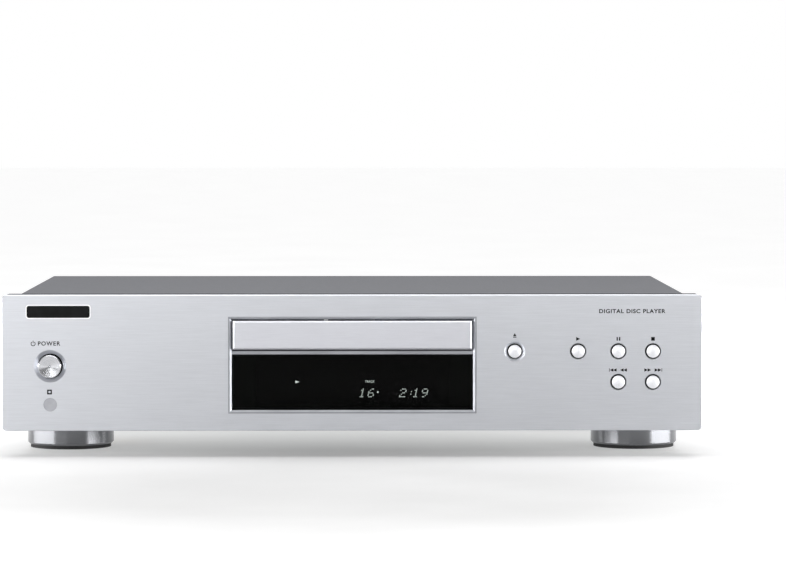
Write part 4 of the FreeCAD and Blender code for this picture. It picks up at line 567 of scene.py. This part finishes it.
paint(chipPlastic, "board_components")
paint(coreSteel, "power_transformer")
paint(windingTape, "transformer_coil")
paint(goldPlate, "rca_jacks")
paint(glossBlack, "digital_out", "power_inlet")
paint(ribbonPlastic, "flat_cables")
print("nodes painted")

# print on the fascia: the marks above the keys; widths, heights, gaps, steps and bars are shares of size,
# skipSize or ejectSize
inkThick = 0.00006
inkY = fasciaFace - inkThick / 2
symbols = {
    "size": 0.0024, "above": 0.0077, "playWidth": 1.05, "pauseGap": 0.32, "pauseWidth": 0.34,
    "pauseHeight": 0.92, "stopSize": 0.95,
    "skipSize": 0.0022, "skipAbove": 0.0074, "skipHeight": 0.95, "skipStep": 0.47, "skipBarPlace": 1.08,
    "skipBarWidth": 0.16, "pairGap": 0.0064,
    "ejectSize": 0.8, "ejectAbove": 0.0100, "ejectWidth": 1.1, "ejectLift": 0.2, "ejectBarDrop": 0.62,
    "ejectBarHeight": 0.26,
}
size, skipSize = symbols["size"], symbols["skipSize"]
ink = bmesh.new()
play = middleOf("play_button")
addTriangle(ink, (play.x, inkY, play.z + symbols["above"]), size * symbols["playWidth"], size, inkThick)
pause = middleOf("pause_button")
for side in (-1, 1):
    spot = (pause.x + side * size * symbols["pauseGap"], inkY, pause.z + symbols["above"])
    addBar(ink, spot, (size * symbols["pauseWidth"], inkThick, size * symbols["pauseHeight"]))
stop = middleOf("stop_button")
stopSize = size * symbols["stopSize"]
addBar(ink, (stop.x, inkY, stop.z + symbols["above"]), (stopSize, inkThick, stopSize))
for name, way in (("back_button", -1), ("forward_button", 1)):
    key = middleOf(name)
    level = key.z + symbols["skipAbove"]
    for group in (-1, 1):
        for step in (-1, 1):
            x = key.x + group * symbols["pairGap"] / 2 + step * skipSize * symbols["skipStep"]
            addTriangle(ink, (x, inkY, level), skipSize, skipSize * symbols["skipHeight"], inkThick, way)
    # the stop bar stands at the outer end of the far pair
    x = key.x + way * (symbols["pairGap"] / 2 + skipSize * symbols["skipBarPlace"])
    addBar(ink, (x, inkY, level),
           (skipSize * symbols["skipBarWidth"], inkThick, skipSize * symbols["skipHeight"]))
eject = middleOf("eject_button")
ejectSize = size * symbols["ejectSize"]
ejectZ = eject.z + symbols["ejectAbove"]
tip = addTriangle(ink, (0, 0, 0), ejectSize, ejectSize * symbols["ejectWidth"], inkThick)
pointUp = Matrix.Rotation(math.radians(-90), 4, "Y")
ejectPlace = Matrix.Translation((eject.x, inkY, ejectZ + ejectSize * symbols["ejectLift"]))
bmesh.ops.transform(ink, verts=tip, matrix=ejectPlace @ pointUp)
addBar(ink, (eject.x, inkY, ejectZ - ejectSize * symbols["ejectBarDrop"]),
       (ejectSize * symbols["ejectWidth"], inkThick, ejectSize * symbols["ejectBarHeight"]))

# power mark: an open ring with a bar through its gap
power = {"x": -0.1979, "z": 0.0707, "outer": 0.0015, "width": 0.00045, "gap": 70, "steps": 36,
         "barLift": 0.75, "barLength": 1.1}
ring = bmesh.new()
section = (Matrix.Translation((power["outer"] - power["width"] / 2, 0, 0)) @ standUp
           @ Matrix.Diagonal((power["width"], inkThick, 1, 1)))
start = bmesh.ops.create_grid(ring, x_segments=1, y_segments=1, size=0.5, matrix=section)["verts"]
gapEdge = Matrix.Rotation(math.radians(90 + power["gap"] / 2), 3, "Z")
bmesh.ops.rotate(ring, verts=start, cent=(0, 0, 0), matrix=gapEdge)
bmesh.ops.spin(ring, geom=ring.verts[:] + ring.edges[:] + ring.faces[:], cent=(0, 0, 0), axis=(0, 0, 1),
               angle=math.radians(360 - power["gap"]), steps=power["steps"], use_duplicate=False)
bmesh.ops.recalc_face_normals(ring, faces=ring.faces[:])
bmesh.ops.transform(ring, verts=ring.verts[:],
                    matrix=Matrix.Translation((power["x"], inkY, power["z"])) @ standUp)
ringMesh = bpy.data.meshes.new("powerRing")
ring.to_mesh(ringMesh)
ring.free()
ink.from_mesh(ringMesh)
bpy.data.meshes.remove(ringMesh)
addBar(ink, (power["x"], inkY, power["z"] + power["outer"] * power["barLift"]),
       (power["width"], inkThick, power["outer"] * power["barLength"]))

# remote sensor mark: a small square frame with a nub in the middle of its left side
sensor = {"x": -0.1879, "z": 0.0407, "size": 0.0030, "line": 0.28, "reach": 0.36, "nub": 0.30}
sensorLine, sensorReach = sensor["size"] * sensor["line"], sensor["size"] * sensor["reach"]
for lift, length in ((1, 1.0), (0, sensor["nub"]), (-1, 1.0)):
    addBar(ink, (sensor["x"] - (1 - length) * sensor["size"] / 2, inkY, sensor["z"] + lift * sensorReach),
           (sensor["size"] * length, inkThick, sensorLine))
for side in (1, -1):
    addBar(ink, (sensor["x"] + side * sensorReach, inkY, sensor["z"]),
           (sensorLine, inkThick, sensor["size"]))

words = {
    "power": {"text": "POWER", "x": -0.1951, "z": 0.0707, "height": 0.0025, "spread": 1.2,
              "stretch": 1.0, "weight": 0.00008},
    "title": {"text": "DIGITAL DISC PLAYER", "x": 0.1530, "z": 0.0906, "height": 0.0024, "spread": 1.12,
              "stretch": 1.1, "weight": 0.00009},
}
for spec in words.values():
    addWords(ink, spec["text"], (spec["x"], inkY, spec["z"]), spec["height"], inkThick, spec["spread"],
             spec["stretch"], weight=spec["weight"], side="LEFT")
finishPiece("fasciaPrint", ink, screenInk)
print("fascia print made")

# badge rim: a light line round the blank plate, a raised bar painted near white as a painted highlight of
# its edge
badge = {"rim": 0.00065, "thick": 0.00025, "corner": 0.0018, "cornerSteps": 6}
badgeLow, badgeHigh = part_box("name_badge")
badgeMiddle = middleOf("name_badge")
rim = bmesh.new()
addBar(rim, (badgeMiddle.x, fasciaFace - badge["thick"] / 2, badgeMiddle.z),
       (badgeHigh.x - badgeLow.x + 2 * badge["rim"], badge["thick"],
        badgeHigh.z - badgeLow.z + 2 * badge["rim"]))
# the four corner edges are those that run from front to back
corners = [e for e in rim.edges if abs((e.verts[0].co - e.verts[1].co).y) > badge["thick"] * 0.9]
bmesh.ops.bevel(rim, geom=corners, offset=badge["corner"], segments=badge["cornerSteps"], profile=0.5,
                affect="EDGES", material=-1)
finishPiece("badgeRim", rim, rimHighlightPaint)

# lit characters behind the window, five by seven dots each
display = {
    "dot": 0.00050, "gap": 0.00080, "slant": 0.24, "low": 0.0371, "depth": 0.00012,
    "characters": (("1", 0.0040), ("6", 0.0095), ("2", 0.0293), (":", 0.0344), ("1", 0.0374),
                   ("9", 0.0428)),
    "point": {"x": 0.0158, "z": 0.0400, "size": 0.0009},
    "playMark": {"x": -0.0342, "z": 0.0464, "width": 0.0026, "height": 0.0017},
    "label": {"text": "TRACK", "x": 0.0108, "z": 0.0465, "height": 0.0015, "spread": 1.1, "stretch": 0.8},
}
dotShapes = {
    "1": ["..#..", ".##..", "..#..", "..#..", "..#..", "..#..", ".###."],
    "6": ["..##.", ".#...", "#....", "####.", "#...#", "#...#", ".###."],
    "2": [".###.", "#...#", "....#", "..##.", ".#...", "#....", "#####"],
    "9": [".###.", "#...#", "#...#", ".####", "....#", "...#.", ".##.."],
    ":": [".....", ".....", "..#..", ".....", "..#..", ".....", "....."],
}
depth = display["depth"]
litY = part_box("display_tube")[0].y - depth / 2
lit = bmesh.new()
for mark, left in display["characters"]:
    rows = dotShapes[mark]
    for row, line in enumerate(rows):
        rise = (len(rows) - 1 - row) * display["gap"]
        for column, cell in enumerate(line):
            if cell == "#":
                x = left + column * display["gap"] + rise * display["slant"]
                addBar(lit, (x, litY, display["low"] + rise), (display["dot"], depth, display["dot"]))
point, playMark, label = display["point"], display["playMark"], display["label"]
addBar(lit, (point["x"], litY, point["z"]), (point["size"], depth, point["size"]))
addTriangle(lit, (playMark["x"], litY, playMark["z"]), playMark["width"], playMark["height"], depth)
addWords(lit, label["text"], (label["x"], litY, label["z"]), label["height"], depth, label["spread"],
         label["stretch"])
finishPiece("litCharacters", lit, phosphor)
print("display made")

# screw recesses: two crossed bars across each head, half sunk into it, on the cover's sides and on its rear
# edge; matt near black, they are painted shade for each head's cross recess
screw = {"arm": 0.0042, "width": 0.0009, "depth": 0.0004, "bevel": 0.00012,
         "sideY": (-0.060, 0.090), "sideZ": 0.060, "rearX": (-0.150, 0.0, 0.060, 0.180), "rearZ": 0.095}
coverLow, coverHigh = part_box("cover_screws")
sideSpots = [(x, y, screw["sideZ"]) for x in (coverLow.x, coverHigh.x) for y in screw["sideY"]]
rearSpots = [(x, coverHigh.y, screw["rearZ"]) for x in screw["rearX"]]
recessShadeCrosses = bmesh.new()
for spot in sideSpots + rearSpots:
    for across, upright in ((screw["arm"], screw["width"]), (screw["width"], screw["arm"])):
        onSide = spot in sideSpots
        bar = (screw["depth"], across, upright) if onSide else (across, screw["depth"], upright)
        made = addBar(recessShadeCrosses, spot, bar)
        bmesh.ops.bevel(recessShadeCrosses, geom=list({e for v in made for e in v.link_edges}), offset=screw["bevel"],
                        segments=1, profile=0.5, affect="EDGES", material=-1)
finishPiece("screwRecessShade", recessShadeCrosses, rubber)

# socket insulators: a rounded ring round each barrel
sockets = {"white": (0.150, whiteInk), "red": (0.169, redPlastic), "digital": (0.1015, acetal)}
washerSizes = {"radius": 0.0057, "wire": 0.00065, "z": 0.062, "proud": 0.0004, "steps": 40, "sides": 12}
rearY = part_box("rear_panel")[1].y
for name, (x, finish) in sockets.items():
    washer = bmesh.new()
    bmesh.ops.create_circle(washer, segments=washerSizes["sides"], radius=washerSizes["wire"],
                            matrix=Matrix.Translation((washerSizes["radius"], 0, 0)) @ standUp)
    bmesh.ops.spin(washer, geom=washer.verts[:] + washer.edges[:], cent=(0, 0, 0), axis=(0, 0, 1),
                   angle=2 * math.pi, steps=washerSizes["steps"], use_merge=True)
    bmesh.ops.remove_doubles(washer, verts=washer.verts[:], dist=1e-6)
    bmesh.ops.recalc_face_normals(washer, faces=washer.faces[:])
    washerPlace = Matrix.Translation((x, rearY + washerSizes["proud"], washerSizes["z"]))
    bmesh.ops.transform(washer, verts=washer.verts[:], matrix=washerPlace @ standUp)
    for polygon in washer.faces:
        polygon.smooth = True
    finishPiece(name + "Ring", washer, finish)

# rear marks, each with its place in X and Z
rearMarks = {"L": (0.150, 0.0725), "R": (0.169, 0.0725), "AUDIO OUT": (0.1595, 0.0785),
             "DIGITAL OUT": (0.108, 0.0735), "AC IN": (-0.165, 0.0705)}
rearHeight = 0.0026
rear = bmesh.new()
for text, (x, z) in rearMarks.items():
    addWords(rear, text, (x, rearY + inkThick / 2, z), rearHeight, inkThick, turn=math.pi)
finishPiece("rearPrint", rear, whiteInk)

# objective lens: a small clear dome in its carrier, cut from a flattened ball
lens = {"radius": 0.0019, "cut": 0.0006, "flat": 0.6, "sink": 0.0008}
lensMiddle = middleOf("objective_lens")
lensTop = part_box("objective_lens")[1].z
dome = bmesh.new()
bmesh.ops.create_uvsphere(dome, u_segments=32, v_segments=16, radius=lens["radius"])
bmesh.ops.bisect_plane(dome, geom=dome.verts[:] + dome.edges[:] + dome.faces[:],
                       plane_co=(0, 0, lens["cut"]), plane_no=(0, 0, 1), clear_inner=True)
domePlace = Matrix.Translation((lensMiddle.x, lensMiddle.y, lensTop - lens["sink"]))
bmesh.ops.transform(dome, verts=dome.verts[:], matrix=domePlace @ Matrix.Diagonal((1, 1, lens["flat"], 1)))
for polygon in dome.faces:
    polygon.smooth = True
finishPiece("lensDome", dome, lensBlue, body="lens")
print("small pieces made")

# a pale matt floor that glows a little, so that it runs into the white background, except for a round
# patch before the fascia that keeps the metal from washing out; the glow reaches under the player too,
# painted light that lightens its shadow there
studio = {"light": "#CCCCCC", "dark": "#C6C6C6", "patch": 0.15, "glow": 0.58, "glowFrom": 0.10,
          "glowTo": 0.48, "middle": (0, -0.36, 0), "halfWidth": 12}
floorMaterial, floorTree, floorCoords = startMaterial("paleFloor")
patches = addNode(floorTree, "ShaderNodeTexNoise", {"Scale": 1 / studio["patch"], "Detail": 3},
                  {"Vector": floorCoords})
floorTone = addNode(floorTree, "ShaderNodeValToRGB", links={"Fac": patches.outputs["Fac"]})
setStops(floorTone, [(0.35, studio["dark"]), (0.65, studio["light"])])
away = addNode(floorTree, "ShaderNodeVectorMath", {"operation": "DISTANCE", 1: studio["middle"]},
               {0: floorCoords})
glowing = addNode(floorTree, "ShaderNodeMapRange",
                  {"interpolation_type": "SMOOTHSTEP", "From Min": studio["glowFrom"],
                   "From Max": studio["glowTo"], "To Max": studio["glow"]},
                  {"Value": away.outputs["Value"]})
floorShader = addNode(floorTree, "ShaderNodeBsdfPrincipled",
                      {"Roughness": 0.9, "Specular IOR Level": 0.1, "Emission Color": linear("#FFFFFF")},
                      {"Base Color": floorTone.outputs[0], "Emission Strength": glowing.outputs[0]})
endMaterial(floorTree, floorShader)
ground = bmesh.new()
bmesh.ops.create_grid(ground, x_segments=1, y_segments=1, size=studio["halfWidth"])
groundMesh = bpy.data.meshes.new("floor")
ground.to_mesh(groundMesh)
ground.free()
floor = bpy.data.objects.new("floor", groundMesh)
groundMesh.materials.append(floorMaterial)
bpy.context.collection.objects.link(floor)

# a white horizon behind and white overhead, dim in front so that the metal has something dark to show
sky = {"dim": 0.12, "turn": (-0.45, -0.10), "horizon": (0.05, 0.10), "middle": 0.35,
       "overhead": (0.45, 0.85)}
world = bpy.data.worlds.new("studioWorld")
world.use_nodes = True
skyTree = world.node_tree
skyTree.nodes.clear()
skyCoords = addNode(skyTree, "ShaderNodeTexCoord").outputs["Generated"]
toward = addNode(skyTree, "ShaderNodeSeparateXYZ", links={"Vector": skyCoords})
behind = addNode(skyTree, "ShaderNodeMapRange",
                 {"interpolation_type": "SMOOTHSTEP", "From Min": sky["turn"][0],
                  "From Max": sky["turn"][1]}, {"Value": toward.outputs["Y"]})
horizon = addNode(skyTree, "ShaderNodeMapRange",
                  {"interpolation_type": "SMOOTHSTEP", "From Min": sky["horizon"][0],
                   "From Max": sky["horizon"][1], "To Min": 1.0, "To Max": sky["middle"]},
                  {"Value": toward.outputs["Z"]})
backdrop = addNode(skyTree, "ShaderNodeMath", {"operation": "MULTIPLY"},
                   {0: behind.outputs[0], 1: horizon.outputs[0]})
overhead = addNode(skyTree, "ShaderNodeMapRange",
                   {"interpolation_type": "SMOOTHSTEP", "From Min": sky["overhead"][0],
                    "From Max": sky["overhead"][1], "To Min": sky["dim"]}, {"Value": toward.outputs["Z"]})
skyPower = addNode(skyTree, "ShaderNodeMath", {"operation": "MAXIMUM"},
                   {0: backdrop.outputs[0], 1: overhead.outputs[0]})
shining = addNode(skyTree, "ShaderNodeBackground", {"Color": linear("#FFFFFF")},
                  {"Strength": skyPower.outputs[0]})
addNode(skyTree, "ShaderNodeOutputWorld", links={"Surface": shining.outputs[0]})
bpy.context.scene.world = world
bpy.context.scene.view_settings.view_transform = "Standard"

lights = {
    "softboxLeft": {"place": (-1.05, -2.2, 0.75), "aim": (0, -0.15, 0.06), "size": (1.4, 1.2), "watts": 8},
    "frontTop": {"place": (0.0, -0.80, 0.31), "aim": (0, -0.15, 0.10), "size": (1.3, 0.06), "watts": 1.9},
    "overhead": {"place": (0.0, 0.0, 0.95), "aim": (0, 0, 0), "size": (1.2, 0.6), "watts": 6},
    "wallLeft": {"place": (-1.8, -0.5, 0.17), "aim": (0, -0.15, 0.03), "size": (2.4, 0.30), "watts": 30},
    "wallRight": {"place": (1.8, -0.5, 0.17), "aim": (0, -0.15, 0.03), "size": (2.2, 0.30), "watts": 34},
}
for name, spec in lights.items():
    lamp = bpy.data.lights.new(name, "AREA")
    lamp.shape = "RECTANGLE"
    lamp.size, lamp.size_y = spec["size"]
    lamp.energy = spec["watts"]
    holder = bpy.data.objects.new(name, lamp)
    holder.location = spec["place"]
    aim = Vector(spec["aim"]) - Vector(spec["place"])
    holder.rotation_euler = aim.to_track_quat("-Z", "Y").to_euler()
    bpy.context.collection.objects.link(holder)

camera = {"lens": 166.6, "sensor": 36, "distance": 2.253, "height": 0.213, "pan": 0.641, "tilt": 2.826,
          "farEnd": 50}
eye = bpy.data.cameras.new("camera")
eye.lens = camera["lens"]
eye.sensor_width = camera["sensor"]
eye.clip_end = camera["farEnd"]
viewer = bpy.data.objects.new("camera", eye)
viewer.location = (0, fasciaFace - camera["distance"], camera["height"])
viewer.rotation_euler = (math.radians(90 - camera["tilt"]), 0, math.radians(-camera["pan"]))
bpy.context.collection.objects.link(viewer)
bpy.context.scene.camera = viewer
print("stage, lights and camera placed")
